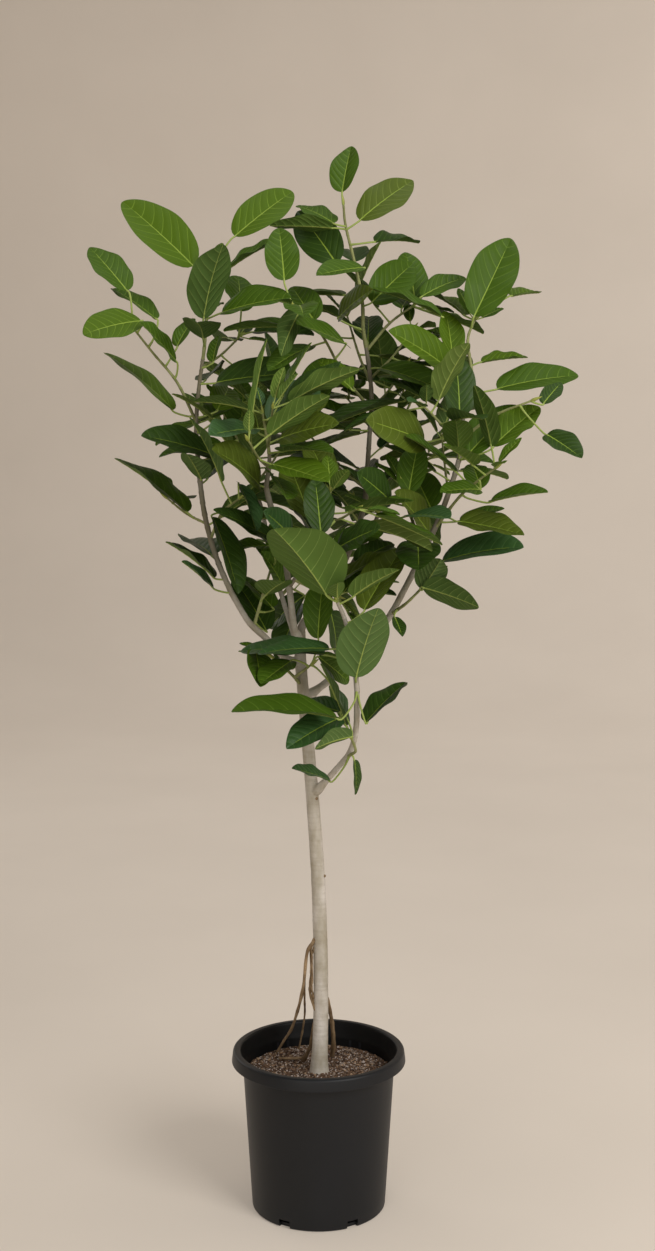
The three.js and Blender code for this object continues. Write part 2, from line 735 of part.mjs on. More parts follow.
// Seeded twigs and leaves of one mass, turned from each other by the golden angle
function growSeeded(mass, plan, blades, bars) {
  const draw = dice(mass.seed);
  const main = plan.stems[0];
  const spin = draw(0, 360);
  for (let k = 0; k < mass.sprigs; k++) {
    const t = lerp(growth.sprigPlaces, (k + draw(0.2, 0.8)) / mass.sprigs);
    const sprig = sproutSprig(main, t, spin + growth.goldenAngle * k, draw, blades);
    if (!sprig) continue;
    plan.stems.push(sprig);
    const stops = pieces(sprig.points, growth.blockSteps.sprig);
    bars.push(...stops.map(([a, b]) => [a, b, growth.sprigBitRoom]));
  }
  plan.stems.forEach((stem, index) => {
    const count = index ? growth.twigLeaves : mass.leaves;
    const bare = index ? growth.bare.twig : growth.bare.stem;
    for (let k = 0; k < count; k++) {
      const t = bare + ((1 - bare) * (k + 0.5)) / count;
      const angle = spin + growth.goldenAngle * k + growth.twigTurn * index;
      const blade = sproutLeaf(stem, t, angle, draw, growth.leafSize - growth.tipLoss * t, blades, bars);
      if (!blade) continue;
      plan.blades.push(blade);
      blades.push(blade);
    }
  });
}

// The whole crown: for each mass its stems and leaves, first those of the outline, then the seeded ones
function growCrown(courses) {
  const bars = [];
  for (const course of Object.values(courses)) {
    const radius = lerp(course.radii, 0.5);
    bars.push(...pieces(course.points, growth.blockSteps.limb).map(([a, b]) => [a, b, radius]));
  }
  const plans = {};
  for (const [name, mass] of Object.entries(masses)) {
    plans[name] = { stems: growStems(mass, courses[name]), blades: [] };
    for (const twig of plans[name].stems.slice(1)) {
      const stops = pieces(twig.points, growth.blockSteps.twig);
      bars.push(...stops.map(([a, b]) => [a, b, growth.twigRoom]));
    }
  }
  const blades = [];
  for (const [name, mass] of Object.entries(masses)) {
    for (const row of mass.shown ?? []) {
      const blade = placeLeaf(plans[name].stems, row, blades, bars);
      if (!blade) continue;
      plans[name].blades.push(blade);
      blades.push(blade);
    }
  }
  for (const [name, mass] of Object.entries(masses)) growSeeded(mass, plans[name], blades, bars);
  return plans;
}

// A solid from its triangles, with equal points made one and flat triangles left out
function closedSolid(positions, triangles) {
  const geometry = new THREE.BufferGeometry();
  geometry.setAttribute("position", new THREE.Float32BufferAttribute(positions, 3));
  geometry.setIndex(triangles);
  const merged = mergeVertices(geometry, 1e-4);
  const index = merged.getIndex().array;
  const kept = [];
  for (let i = 0; i < index.length; i += 3) {
    const [a, b, c] = index.slice(i, i + 3);
    if (a !== b && b !== c && c !== a) kept.push(a, b, c);
  }
  return new wasm.Manifold(new wasm.Mesh({
    numProp: 3,
    vertProperties: new Float32Array(merged.getAttribute("position").array),
    triVerts: new Uint32Array(kept),
  }));
}

// A closed solid through rings of points, each running the same way round; the last may be one point
function skin(rings) {
  const triangles = [];
  const starts = [];
  let count = 0;
  for (const ring of rings) {
    starts.push(count);
    count += ring.length;
  }
  const fan = (start, size, flip) => {
    for (let k = 1; k < size - 1; k++) {
      triangles.push(start, start + (flip ? k + 1 : k), start + (flip ? k : k + 1));
    }
  };
  const around = rings[0].length;
  fan(0, around, true);
  for (let i = 0; i < rings.length - 1; i++) {
    for (let k = 0; k < around; k++) {
      const [a, b] = [starts[i] + k, starts[i] + ((k + 1) % around)];
      if (rings[i + 1].length === 1) {
        triangles.push(a, b, starts[i + 1]);
        continue;
      }
      const [c, d] = [starts[i + 1] + ((k + 1) % around), starts[i + 1] + k];
      triangles.push(a, b, c, a, c, d);
    }
  }
  if (rings.at(-1).length > 1) fan(starts.at(-1), around, false);
  return closedSolid(rings.flat(2), triangles);
}

// A round limb along its course; girth swells it by height, and lastWay turns its tip's flat cut
function limbSolid(course, sideCount, stepsPerSpan, { girth = () => 1, lastWay } = {}) {
  const last = (course.points.length - 1) * stepsPerSpan;
  const rings = [];
  let way = course.way;
  let side = across(way, 0);
  for (let i = 0; i <= last; i++) {
    const t = i / last;
    let next = i ? pathWay(course.points, t) : way;
    if (i === last && lastWay) next = lastWay;
    side = turned(side, way, next);
    way = next;
    const up = cross(way, side);
    const centre = pathPoint(course.points, t);
    const radius = lerp(course.radii, t) * girth(centre[2]);
    rings.push(Array.from({ length: sideCount }, (_, k) => {
      const a = (2 * Math.PI * k) / sideCount;
      return add(centre, add(mul(side, radius * Math.cos(a)), mul(up, radius * Math.sin(a))));
    }));
  }
  return skin(rings);
}

// A leaf: a three-sided stalk, bent where it must turn, that opens into a folded, arched blade
function leafSolid(blade) {
  const reach = length(sub(blade.foot, blade.root));
  const bend = sub(blade.foot, mul(blade.way, leafShape.stalkBend * reach));
  const straight = unit(sub(blade.foot, blade.root));
  const stops = [{ centre: blade.root, way: unit(sub(bend, blade.root)) }];
  if (dot(straight, blade.way) < leafShape.straightStalk) {
    const between = mul(add(blade.root, blade.foot), 0.5);
    stops.push({ centre: mul(add(between, bend), 0.5), way: straight });
  }
  stops.push({ centre: blade.foot, way: blade.way });
  const rings = stops.map(({ centre, way }, i) => {
    const radius = leafShape.stalkRadius * (i ? 1 : leafShape.rootShare);
    const side = mul(turned(blade.side, blade.way, way), radius);
    const face = mul(turned(blade.face, blade.way, way), radius);
    const top = add(centre, mul(face, 0.5));
    return [add(top, side), sub(centre, face), sub(top, side), add(top, side)];
  });
  const half = (blade.size * leafShape.thick) / 2;
  for (const u of blade.stations) {
    rings.push([
      bladePoint(blade, u, 1), bladePoint(blade, u, 0, -half),
      bladePoint(blade, u, -1), bladePoint(blade, u, 0, half),
    ]);
  }
  rings.push([bladePoint(blade, 1, 0)]);
  return skin(rings);
}

const boxesTouch = (a, b, room) =>
  [0, 1, 2].every((k) => a.min[k] - room < b.max[k] && b.min[k] - room < a.max[k]);

// The least distance from a solid to the finished ones, or room where it is more than that
function leastGap(solid, room) {
  const box = solid.boundingBox();
  const neighbours = finished.filter((other) => boxesTouch(box, other.boundingBox(), room));
  return Math.min(room, ...neighbours.map((other) => solid.minGap(other, room)));
}

// A limb slid back along its starting way until only the clearance parts it from what it stands on
function seatedLimb(course, sideCount, lastWay) {
  const room = 10;
  const tries = 12;
  const closeEnough = clearance * 1.1;
  let solid = limbSolid(course, sideCount, steps.limb, { lastWay });
  for (let i = 0; i < tries; i++) {
    const gap = leastGap(solid, room);
    if (gap < closeEnough) break;
    course.points[0] = sub(course.points[0], mul(course.way, gap - clearance));
    solid = limbSolid(course, sideCount, steps.limb, { lastWay });
  }
  return solid;
}

// One mass as one body: stem, twigs and leaves that keep clear of the finished solids; scraps go
function massSolid(plan) {
  const [main, ...twigs] = plan.stems;
  const parts = [
    ...twigs.map((twig) => limbSolid(twig, sides.twig, steps.limb)),
    ...plan.blades.map((blade) => leafSolid(blade)),
  ].filter((solid) => leastGap(solid, 2 * clearance) > clearance * 0.9);
  const whole = wasm.Manifold.union([seatedLimb(main, sides.stem), ...parts]);
  return whole.decompose().sort((a, b) => b.volume() - a.volume())[0];
}

// A round body from its half section, [radius, height] from the bottom up, standing along Z
function turnedSolid(section) {
  const outline = section.map(([r, z]) => new THREE.Vector2(r, z));
  const geometry = new THREE.LatheGeometry([...outline, outline[0]], pot.sides);
  geometry.rotateX(Math.PI / 2);
  return closedSolid(geometry.getAttribute("position").array, [...geometry.getIndex().array]);
}

// Radius of the pot's inner wall at a height
function innerRadius(z) {
  const slope = (pot.shoulderRadius - pot.baseRadius) / pot.shoulderHeight;
  return pot.baseRadius - pot.wall + slope * z;
}

function potSolid() {
  const { corner, lipRound, wall, height, lipWall } = pot;
  const lipFoot = height - pot.lipHeight;
  const underTop = height - 2 * wall;
  const innerShoulder = pot.shoulderHeight - wall;
  const section = [
    [0, 0],
    [pot.baseRadius - corner, 0],
    [pot.baseRadius, corner],
    [pot.shoulderRadius, pot.shoulderHeight],
    [pot.shoulderRadius + lipRound, lipFoot + pot.ledge],
    [pot.mouthRadius + wall, underTop],
    [pot.lipTopRadius, underTop],
    [pot.lipRadius - lipWall, lipFoot],
    [pot.lipRadius, lipFoot],
    [pot.lipTopRadius + lipRound, height - lipRound],
    [pot.lipTopRadius, height],
    [pot.mouthRadius + lipRound, height],
    [pot.mouthRadius, height - lipRound],
    [innerRadius(pot.shoulderHeight) + lipRound, lipFoot + pot.ledge],
    [innerRadius(innerShoulder), innerShoulder],
    [innerRadius(pot.floor), pot.floor],
    [0, pot.floor],
  ];
  let body = turnedSolid(section);
  for (let i = 0; i < pot.notches; i++) {
    body = body.subtract(notchCutter((2 * Math.PI * i) / pot.notches));
  }
  return body;
}

// The block that cuts one drain notch out of the bottom corner
function notchCutter(angle) {
  const block = new THREE.BoxGeometry(2 * pot.notchDepth, pot.notchWidth, 2 * pot.notchHeight);
  block.translate(pot.baseRadius, 0, 0);
  block.rotateZ(angle);
  return closedSolid(block.getAttribute("position").array, [...block.getIndex().array]);
}

function soilSolid() {
  const foot = pot.floor + clearance;
  const edge = soil.level - soil.edgeDrop;
  return turnedSolid([
    [0, foot],
    [innerRadius(foot) - clearance, foot],
    [innerRadius(edge) - clearance, edge],
    [soil.flatRadius, soil.level],
    [0, soil.level],
  ]);
}

// The trunk with its flare, and the grip roots joined on
function trunkSolid(course) {
  const foot = limbs.trunk.points[0][2];
  const flare = (z) => 1 + rootFlare.share * Math.exp((foot - z) / rootFlare.height);
  const grips = gripRoots.map(({ radii, points }) => {
    const lastWay = points.at(-1)[2] === foot ? down : undefined;
    return limbSolid({ points, radii, way: pathWay(points, 0) }, sides.gripRoot, steps.limb, { lastWay });
  });
  const stem = limbSolid(course, limbs.trunk.sides, steps.trunk, { girth: flare });
  return wasm.Manifold.union([stem, ...grips]);
}

const group = new THREE.Group();
const finished = [];

function addNode(name, slot, solid) {
  const { vertProperties, triVerts } = solid.getMesh();
  const geometry = new THREE.BufferGeometry();
  geometry.setAttribute("position", new THREE.BufferAttribute(new Float32Array(vertProperties), 3));
  geometry.setIndex(new THREE.BufferAttribute(new Uint32Array(triVerts), 1));
  geometry.computeVertexNormals();
  const mesh = new THREE.Mesh(geometry, new THREE.MeshStandardMaterial(slots[slot]));
  mesh.name = name;
  group.add(mesh);
  finished.push(solid);
}

const courses = growCourses();
const plans = growCrown(courses);
addNode("pot", "pot_plastic", potSolid());
addNode("soil", "potting_soil", soilSolid());
for (const name of Object.keys(limbs)) {
  const course = courses[name];
  addNode(name, "bark", name === "trunk" ? trunkSolid(course) : seatedLimb(course, sides.bough));
}
for (const name of Object.keys(aerialRoots)) {
  addNode(name, "bark", seatedLimb(courses[name], sides.aerialRoot, down));
}
for (const name of Object.keys(masses)) {
  addNode(name, "foliage", massSolid(plans[name]));
}

export default group;
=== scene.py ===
import math
import bpy
import bmesh
import numpy as np
from mathutils import Matrix, Vector, noise
from mathutils.kdtree import KDTree


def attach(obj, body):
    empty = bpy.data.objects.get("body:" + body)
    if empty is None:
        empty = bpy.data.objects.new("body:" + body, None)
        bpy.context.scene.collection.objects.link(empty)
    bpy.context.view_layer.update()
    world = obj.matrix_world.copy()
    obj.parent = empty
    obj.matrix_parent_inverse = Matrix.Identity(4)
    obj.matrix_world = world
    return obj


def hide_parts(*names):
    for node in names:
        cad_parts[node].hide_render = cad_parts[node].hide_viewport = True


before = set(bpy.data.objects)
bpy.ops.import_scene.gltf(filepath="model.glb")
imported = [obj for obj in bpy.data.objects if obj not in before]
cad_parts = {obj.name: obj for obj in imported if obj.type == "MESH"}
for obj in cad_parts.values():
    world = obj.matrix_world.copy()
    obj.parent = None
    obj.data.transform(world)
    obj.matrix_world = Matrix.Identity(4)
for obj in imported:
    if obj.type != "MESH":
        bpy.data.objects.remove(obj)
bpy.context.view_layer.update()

# The plant's limbs in metres, foot to tip, and how they stand on one another, as in the solids
limbs = {
    "trunk": {
        "radii": [0.0138, 0.0092],
        "points": [
            [0.001, -0.012, 0.2453], [0.004, -0.002, 0.37], [0.001, 0, 0.55], [-0.008, 0, 0.7],
            [-0.018, 0, 0.824], [-0.03, 0, 0.965], [-0.031, 0, 1.02],
        ],
    },
    "bough_left": {
        "on": "trunk", "height": 0.955, "radii": [0.0065, 0.005],
        "points": [
            [-0.062, -0.005, 0.981], [-0.092, -0.015, 1.014], [-0.118, -0.02, 1.04], [-0.147, -0.024, 1.09],
        ],
    },
    "bough_right": {
        "on": "trunk", "height": 0.903, "radii": [0.0066, 0.0052],
        "points": [
            [0.023, 0.03, 0.936], [0.072, 0.045, 0.982], [0.116, 0.04, 1.032], [0.15, 0.025, 1.095],
            [0.182, 0.008, 1.163],
        ],
    },
    "bough_front": {
        "on": "trunk", "height": 0.735, "radii": [0.0054, 0.0048],
        "points": [
            [0.028, -0.035, 0.786], [0.053, -0.07, 0.826], [0.063, -0.095, 0.871], [0.064, -0.115, 0.938],
        ],
    },
    "bough_leader": {
        "on": "trunk", "radii": [0.0076, 0.0048],
        "points": [
            [-0.023, 0.004, 1.038], [0.003, 0.015, 1.06], [0.024, 0.028, 1.088], [0.054, 0.05, 1.156],
        ],
    },
    "bough_centre": {
        "on": "trunk", "height": 0.985, "radii": [0.006, 0.0044],
        "points": [
            [-0.042, -0.025, 1.04], [-0.055, -0.06, 1.148], [-0.078, -0.1, 1.243], [-0.084, -0.11, 1.271],
        ],
    },
    "bough_back_left": {
        "on": "trunk", "height": 0.978, "radii": [0.005, 0.0038],
        "points": [[-0.045, 0.032, 1.02], [-0.072, 0.08, 1.1], [-0.095, 0.11, 1.2]],
    },
    "bough_back_right": {
        "on": "bough_leader", "height": 1.085, "radii": [0.0044, 0.0036],
        "points": [[0.062, 0.075, 1.135], [0.095, 0.115, 1.19], [0.115, 0.14, 1.24]],
    },
}

# Roots that leave the trunk above the soil
aerialRoots = {
    "aerial_root_front": {
        "on": "trunk", "height": 0.493, "radii": [0.003, 0.0022],
        "points": [
            [-0.018, -0.014, 0.466], [-0.022, -0.012, 0.445], [-0.026, -0.002, 0.4], [-0.032, 0.012, 0.366],
            [-0.04, 0.03, 0.331], [-0.049, 0.05, 0.299], [-0.062, 0.068, 0.272], [-0.075, 0.082, 0.2453],
        ],
    },
    "aerial_root_inner": {
        "on": "aerial_root_front", "height": 0.415, "radii": [0.0018, 0.0015],
        "points": [
            [-0.025, 0.03, 0.36], [-0.025, 0.05, 0.328], [-0.029, 0.079, 0.288], [-0.036, 0.103, 0.2453],
        ],
    },
}
gripRoots = [  # they run down the trunk itself, or out from its foot over the soil
    {"radii": [0.003, 0.004], "points": [
        [0.008, -0.004, 0.392], [0.015, 0, 0.372], [0.021, 0.014, 0.339], [0.025, 0.032, 0.303],
        [0.026, 0.048, 0.271], [0.024, 0.063, 0.2453],
    ]},
    {"radii": [0.002, 0.0036], "points": [
        [-0.004, -0.005, 0.345], [-0.009, -0.003, 0.325], [-0.012, 0.005, 0.303], [-0.015, 0.015, 0.28],
        [-0.021, 0.025, 0.262], [-0.028, 0.034, 0.2453],
    ]},
    {"radii": [0.003, 0.0018], "points": [
        [-0.022, 0.027, 0.257], [-0.032, 0.036, 0.2506], [-0.052, 0.04, 0.2484], [-0.072, 0.044, 0.2474],
    ]},
    {"radii": [0.002, 0.0024], "points": [
        [-0.006, -0.004, 0.47], [-0.013, -0.006, 0.45], [-0.0125, -0.007, 0.425], [-0.015, -0.006, 0.398],
        [-0.014, -0.006, 0.38], [-0.006, -0.008, 0.355],
    ]},
]
soilLevel = 0.245

# Masses of leaves. A shown leaf sets the outline or the front: foot x, y, z, heading, rise, roll, length
# and, where it isn't the usual one, width as a share of length. The rest are seeded.
masses = {
    "foliage_left_low": {
        "on": "bough_left", "radii": [0.0048, 0.0042], "seed": 28, "leaves": 3, "sprigs": 1,
        "stem": [
            [-0.166, -0.025, 1.135], [-0.18, -0.025, 1.177], [-0.192, -0.022, 1.23], [-0.2, -0.012, 1.29],
        ],
        "twigs": [{"height": 1.18, "points": [[-0.16, -0.045, 1.225], [-0.13, -0.07, 1.25]]}],
        "shown": [
            [-0.22, -0.02, 1.225, 160, 40, 0, 0.16], [-0.175, -0.025, 1.115, 155, 40, 10, 0.11],
            [-0.175, -0.045, 1.1, 225, 40, -40, 0.08], [-0.175, -0.065, 1.22, 315, -55, -20, 0.14],
            [-0.13, -0.08, 1.275, 300, -40, -30, 0.1],
        ],
    },
    "foliage_left_top": {
        "on": "foliage_left_low", "radii": [0.0042, 0.002], "seed": 9, "leaves": 5, "sprigs": 1,
        "stem": [
            [-0.205, 0, 1.365], [-0.2, 0, 1.43], [-0.19, 0, 1.5], [-0.185, 0.01, 1.57],
            [-0.178, 0.02, 1.625],
        ],
        "twigs": [
            {"height": 1.375,
             "points": [[-0.235, -0.01, 1.44], [-0.275, -0.02, 1.49], [-0.31, -0.025, 1.535]]},
        ],
        "shown": [
            [-0.21, 0.035, 1.635, 170, 45, -50, 0.165], [-0.19, -0.015, 1.545, 295, 65, 0, 0.14],
            [-0.14, 0.045, 1.685, 25, 40, 40, 0.135], [-0.315, -0.025, 1.59, 145, 45, -20, 0.115],
            [-0.29, -0.045, 1.54, 225, -5, -40, 0.115], [-0.27, -0.01, 1.545, 160, 35, 0, 0.11],
            [-0.235, -0.035, 1.475, 235, 40, -60, 0.1], [-0.235, -0.005, 1.5, 55, 55, 0, 0.065],
            [-0.245, 0.01, 1.395, 160, 45, 0, 0.16], [-0.16, -0.01, 1.555, 330, 15, 40, 0.13],
            [-0.13, 0.03, 1.56, 95, 40, 20, 0.11], [-0.175, -0.01, 1.475, 80, 60, -30, 0.055],
            [-0.175, -0.025, 1.38, 180, 40, 0, 0.08], [-0.17, -0.01, 1.44, 335, 10, 40, 0.145],
            [-0.17, 0.01, 1.395, 75, 30, 30, 0.1], [-0.175, -0.025, 1.32, 215, 20, -40, 0.135],
            [-0.195, -0.03, 1.28, 260, 40, -10, 0.095],
        ],
    },
    "foliage_right_low": {
        "on": "bough_right", "radii": [0.0052, 0.0042], "seed": 20, "leaves": 3, "sprigs": 1,
        "stem": [[0.205, 0, 1.215], [0.226, -0.01, 1.277], [0.236, -0.01, 1.312]],
        "twigs": [
            {"height": 1.195, "points": [[0.235, -0.03, 1.25], [0.265, -0.06, 1.28], [0.29, -0.08, 1.3]]},
        ],
        "shown": [
            [0.265, -0.075, 1.265, 220, 5, -30, 0.085], [0.285, -0.06, 1.245, 325, 15, 20, 0.105],
            [0.235, -0.035, 1.21, 335, -5, 30, 0.115], [0.24, 0, 1.21, 10, 20, 10, 0.08],
            [0.21, 0, 1.14, 335, 20, 30, 0.145], [0.27, -0.04, 1.265, 105, 35, -10, 0.085],
        ],
    },
    "foliage_right_top": {
        "on": "foliage_right_low", "radii": [0.0042, 0.0018], "seed": 55, "leaves": 4, "sprigs": 1,
        "stem": [[0.242, -0.01, 1.378], [0.256, 0, 1.45], [0.25, 0.005, 1.51], [0.262, 0.015, 1.545]],
        "twigs": [
            {"height": 1.345, "points": [[0.29, -0.04, 1.385], [0.35, -0.06, 1.41]]},
            {"height": 1.33, "points": [[0.205, -0.04, 1.37], [0.175, -0.06, 1.4]]},
        ],
        "shown": [
            [0.26, 0, 1.55, 30, 60, 50, 0.155], [0.325, 0.03, 1.585, 50, 10, 10, 0.09],
            [0.3, 0, 1.43, 10, 15, 30, 0.145], [0.275, 0.025, 1.475, 15, -5, 20, 0.085],
            [0.225, 0.015, 1.48, 95, 65, 20, 0.095], [0.235, -0.025, 1.385, 95, 70, 10, 0.11],
            [0.215, 0, 1.465, 220, 30, -70, 0.13], [0.37, -0.06, 1.405, 45, 40, 20, 0.06],
            [0.25, -0.02, 1.32, 35, 45, 30, 0.135], [0.29, -0.045, 1.335, 35, 40, 30, 0.115],
            [0.375, -0.07, 1.355, 305, -20, 30, 0.09], [0.175, -0.06, 1.345, 230, 15, -70, 0.14],
        ],
    },
    "foliage_leader_low": {
        "on": "bough_leader", "radii": [0.0048, 0.0042], "seed": 47, "leaves": 7, "sprigs": 3,
        "stem": [[0.07, 0.057, 1.2], [0.08, 0.06, 1.241], [0.085, 0.06, 1.31]],
    },
    "foliage_leader_mid": {
        "on": "foliage_leader_low", "radii": [0.0042, 0.0034], "seed": 3, "leaves": 6, "sprigs": 2,
        "stem": [[0.088, 0.06, 1.36], [0.091, 0.06, 1.412], [0.086, 0.06, 1.47], [0.076, 0.055, 1.53]],
        "twigs": [
            {"height": 1.395, "points": [[0.045, 0.02, 1.45], [0.005, -0.02, 1.52], [-0.04, -0.05, 1.565]]},
            {"height": 1.495, "points": [[0.12, 0.06, 1.54], [0.16, 0.06, 1.57]]},
            {"height": 1.44, "points": [[0.07, 0.12, 1.49], [0.05, 0.175, 1.56]]},
        ],
        "shown": [
            [0.165, 0.08, 1.58, 100, 60, 10, 0.105], [0.175, 0.045, 1.585, 25, 30, 30, 0.095],
            [0.205, 0, 1.55, 175, 30, -10, 0.13], [0.035, 0.05, 1.55, 300, 30, 70, 0.1],
            [-0.055, -0.05, 1.605, 100, 65, -10, 0.105], [-0.01, -0.02, 1.5, 225, -15, -10, 0.105],
            [-0.03, -0.06, 1.555, 230, -50, 90, 0.095], [0.045, -0.005, 1.505, 220, 15, -40, 0.135],
            [-0.045, -0.04, 1.53, 160, 5, -10, 0.12], [0.055, -0.025, 1.43, 160, 45, -30, 0.075, 0.7],
            [0.035, 0.06, 1.455, 230, -15, -20, 0.11], [0.065, 0.1, 1.38, 150, 20, -10, 0.1],
            [0.14, 0.025, 1.41, 215, -10, 0, 0.17], [0.105, 0.05, 1.465, 325, -10, 20, 0.13],
        ],
    },
    "foliage_crown_top": {
        "on": "foliage_leader_mid", "radii": [0.0034, 0.0018], "seed": 17, "leaves": 4, "sprigs": 0,
        "stem": [[0.074, 0.05, 1.58], [0.062, 0.04, 1.637], [0.046, 0.03, 1.7], [0.042, 0.025, 1.735]],
        "shown": [
            [0.04, 0.025, 1.755, 75, 60, -10, 0.1], [0.07, 0.03, 1.71, 25, 40, 40, 0.125],
            [0.03, 0.04, 1.64, 140, 50, -50, 0.13], [0.025, 0.03, 1.705, 145, 30, -10, 0.095],
            [0.095, 0.035, 1.675, 35, 10, 20, 0.1], [0.075, 0.01, 1.63, 215, -5, -30, 0.095],
            [0.09, 0.04, 1.575, 35, 40, 60, 0.125],
        ],
    },
    "foliage_centre": {
        "on": "bough_centre", "radii": [0.0042, 0.002], "seed": 26, "leaves": 4, "sprigs": 2,
        "stem": [[-0.078, -0.13, 1.32], [-0.088, -0.14, 1.39]],
        "shown": [
            [-0.08, -0.145, 1.38, 50, 30, 50, 0.115, 0.6], [-0.095, -0.125, 1.36, 100, 40, 10, 0.095],
            [-0.06, -0.15, 1.35, 320, 25, 50, 0.115], [-0.1, -0.15, 1.365, 235, 0, -20, 0.115],
            [-0.095, -0.12, 1.275, 245, 30, -70, 0.14],
        ],
    },
    "foliage_centre_right": {
        "on": "bough_centre", "height": 1.1, "radii": [0.0034, 0.002], "seed": 28, "leaves": 4, "sprigs": 1,
        "stem": [[-0.02, -0.1, 1.15], [0, -0.13, 1.195], [0.015, -0.14, 1.23], [0.02, -0.145, 1.265]],
        "twigs": [{"height": 1.115, "points": [[-0.005, -0.072, 1.1], [0.03, -0.062, 1.088]]}],
        "shown": [
            [0.005, -0.18, 1.2, 105, 70, 0, 0.095], [0.03, -0.165, 1.175, 310, 25, 60, 0.105],
            [-0.045, -0.15, 1.195, 245, 30, -90, 0.09], [0.043, -0.06, 1.094, 54, 35, 0, 0.085],
            [0.065, -0.015, 1.139, 37, 27, 20, 0.09],
        ],
    },
    "foliage_front": {
        "on": "bough_front", "radii": [0.0046, 0.003], "seed": 45, "leaves": 2, "sprigs": 0,
        "stem": [[0.058, -0.13, 1.0], [0.045, -0.15, 1.055], [0.031, -0.16, 1.09]],
        "shown": [
            [0.014, -0.175, 1.102, 230, 52, 20, 0.163, 0.83],
            [0.062, -0.135, 0.962, 310, 71, -19, 0.131, 0.71], [0.08, -0.115, 0.885, 55, 35, -10, 0.115],
            [0.075, -0.15, 1.075, 45, 50, 10, 0.13], [0.01, -0.1, 0.995, 165, 10, -10, 0.145],
            [0.031, -0.16, 0.9, 195, 15, -10, 0.175], [0.029, -0.13, 1.173, 33, 22, 25, 0.098],
        ],
    },
    "foliage_front_low": {
        "on": "bough_front", "height": 0.812, "radii": [0.0028, 0.002], "seed": 47, "leaves": 1, "sprigs": 0,
        "stem": [[0.062, -0.105, 0.835], [0.055, -0.13, 0.86]],
        "shown": [
            [0.055, -0.14, 0.865, 220, 0, 50, 0.085], [0.035, -0.11, 0.89, 240, -10, -20, 0.12],
            [0.06, -0.085, 0.815, 355, -80, 20, 0.06], [0.02, -0.06, 0.775, 205, 25, -20, 0.075],
            [0.036, -0.085, 0.896, 140, 10, -20, 0.09, 0.5],
        ],
    },
    "foliage_left_inner": {
        "on": "bough_left", "height": 1.03, "radii": [0.003, 0.002], "seed": 57, "leaves": 3, "sprigs": 1,
        "stem": [[-0.095, -0.005, 1.08], [-0.08, 0.015, 1.13]],
        "twigs": [{"height": 1.1, "points": [[-0.06, 0.045, 1.095], [-0.042, 0.065, 1.085]]}],
        "shown": [
            [-0.09, 0.02, 1.02, 125, 45, 0, 0.125], [-0.085, -0.065, 1.18, 225, 35, -40, 0.09],
            [-0.08, 0.035, 1.058, 131, 26, 5, 0.105], [-0.025, 0.062, 1.075, 155, -35, -60, 0.1, 0.5],
            [-0.061, 0.028, 1.095, 242, 41, -85, 0.085, 0.6], [-0.086, 0.025, 1.164, 225, 5, -20, 0.09],
        ],
    },
    "foliage_low_left": {
        "on": "trunk", "height": 0.925, "radii": [0.003, 0.002], "seed": 9, "leaves": 2, "sprigs": 0,
        "stem": [[-0.045, -0.025, 0.95], [-0.075, -0.04, 0.98]],
        "twigs": [{"height": 0.945, "points": [[-0.024, -0.042, 0.96], [-0.012, -0.047, 0.97]]}],
        "shown": [
            [-0.105, -0.055, 0.995, 280, -25, -20, 0.095], [-0.045, -0.07, 0.98, 240, -20, -10, 0.095],
            [0, -0.05, 0.984, 34, -35, 60, 0.085, 0.6], [0.021, -0.032, 0.932, 47, -62, -5, 0.08, 0.42],
        ],
    },
    "foliage_right_under": {
        "on": "bough_right", "height": 1.045, "radii": [0.003, 0.002], "seed": 67, "leaves": 0, "sprigs": 0,
        "stem": [[0.15, -0.005, 1.07], [0.172, -0.025, 1.095]],
        "shown": [
            [0.175, -0.03, 1.095, 300, 45, -30, 0.085, 0.66], [0.175, -0.04, 1.1, 330, -10, -60, 0.11],
            [0.13, 0, 1.045, 290, -35, 0, 0.045],
        ],
    },
    "foliage_right_inner": {
        "on": "bough_right", "height": 1.14, "radii": [0.0032, 0.002], "seed": 44, "leaves": 3, "sprigs": 1,
        "stem": [[0.165, -0.03, 1.19], [0.15, -0.045, 1.23], [0.14, -0.05, 1.27]],
        "shown": [
            [0.15, -0.06, 1.26, 50, 55, 10, 0.095], [0.12, -0.055, 1.245, 235, 30, -80, 0.1, 0.6],
            [0.185, -0.03, 1.19, 230, 40, -80, 0.115],
        ],
    },
    "foliage_back_left": {
        "on": "bough_back_left", "radii": [0.0038, 0.002], "seed": 96, "leaves": 8, "sprigs": 4,
        "stem": [[-0.115, 0.15, 1.29], [-0.11, 0.19, 1.39]],
    },
    "foliage_back_right": {
        "on": "bough_back_right", "radii": [0.0036, 0.002], "seed": 86, "leaves": 8, "sprigs": 4,
        "stem": [[0.14, 0.175, 1.32], [0.15, 0.19, 1.42]],
    },
    "foliage_back_low": {
        "on": "bough_back_left", "height": 1.075, "radii": [0.003, 0.002],
        "seed": 96, "leaves": 5, "sprigs": 1,
        "stem": [[-0.03, 0.125, 1.11], [0.005, 0.165, 1.15]],
        "twigs": [{"height": 1.105, "points": [[-0.005, 0.095, 1.075]]}],
        "shown": [[0.02, 0.07, 1.046, 64, -57, 105, 0.1]],
    },
}

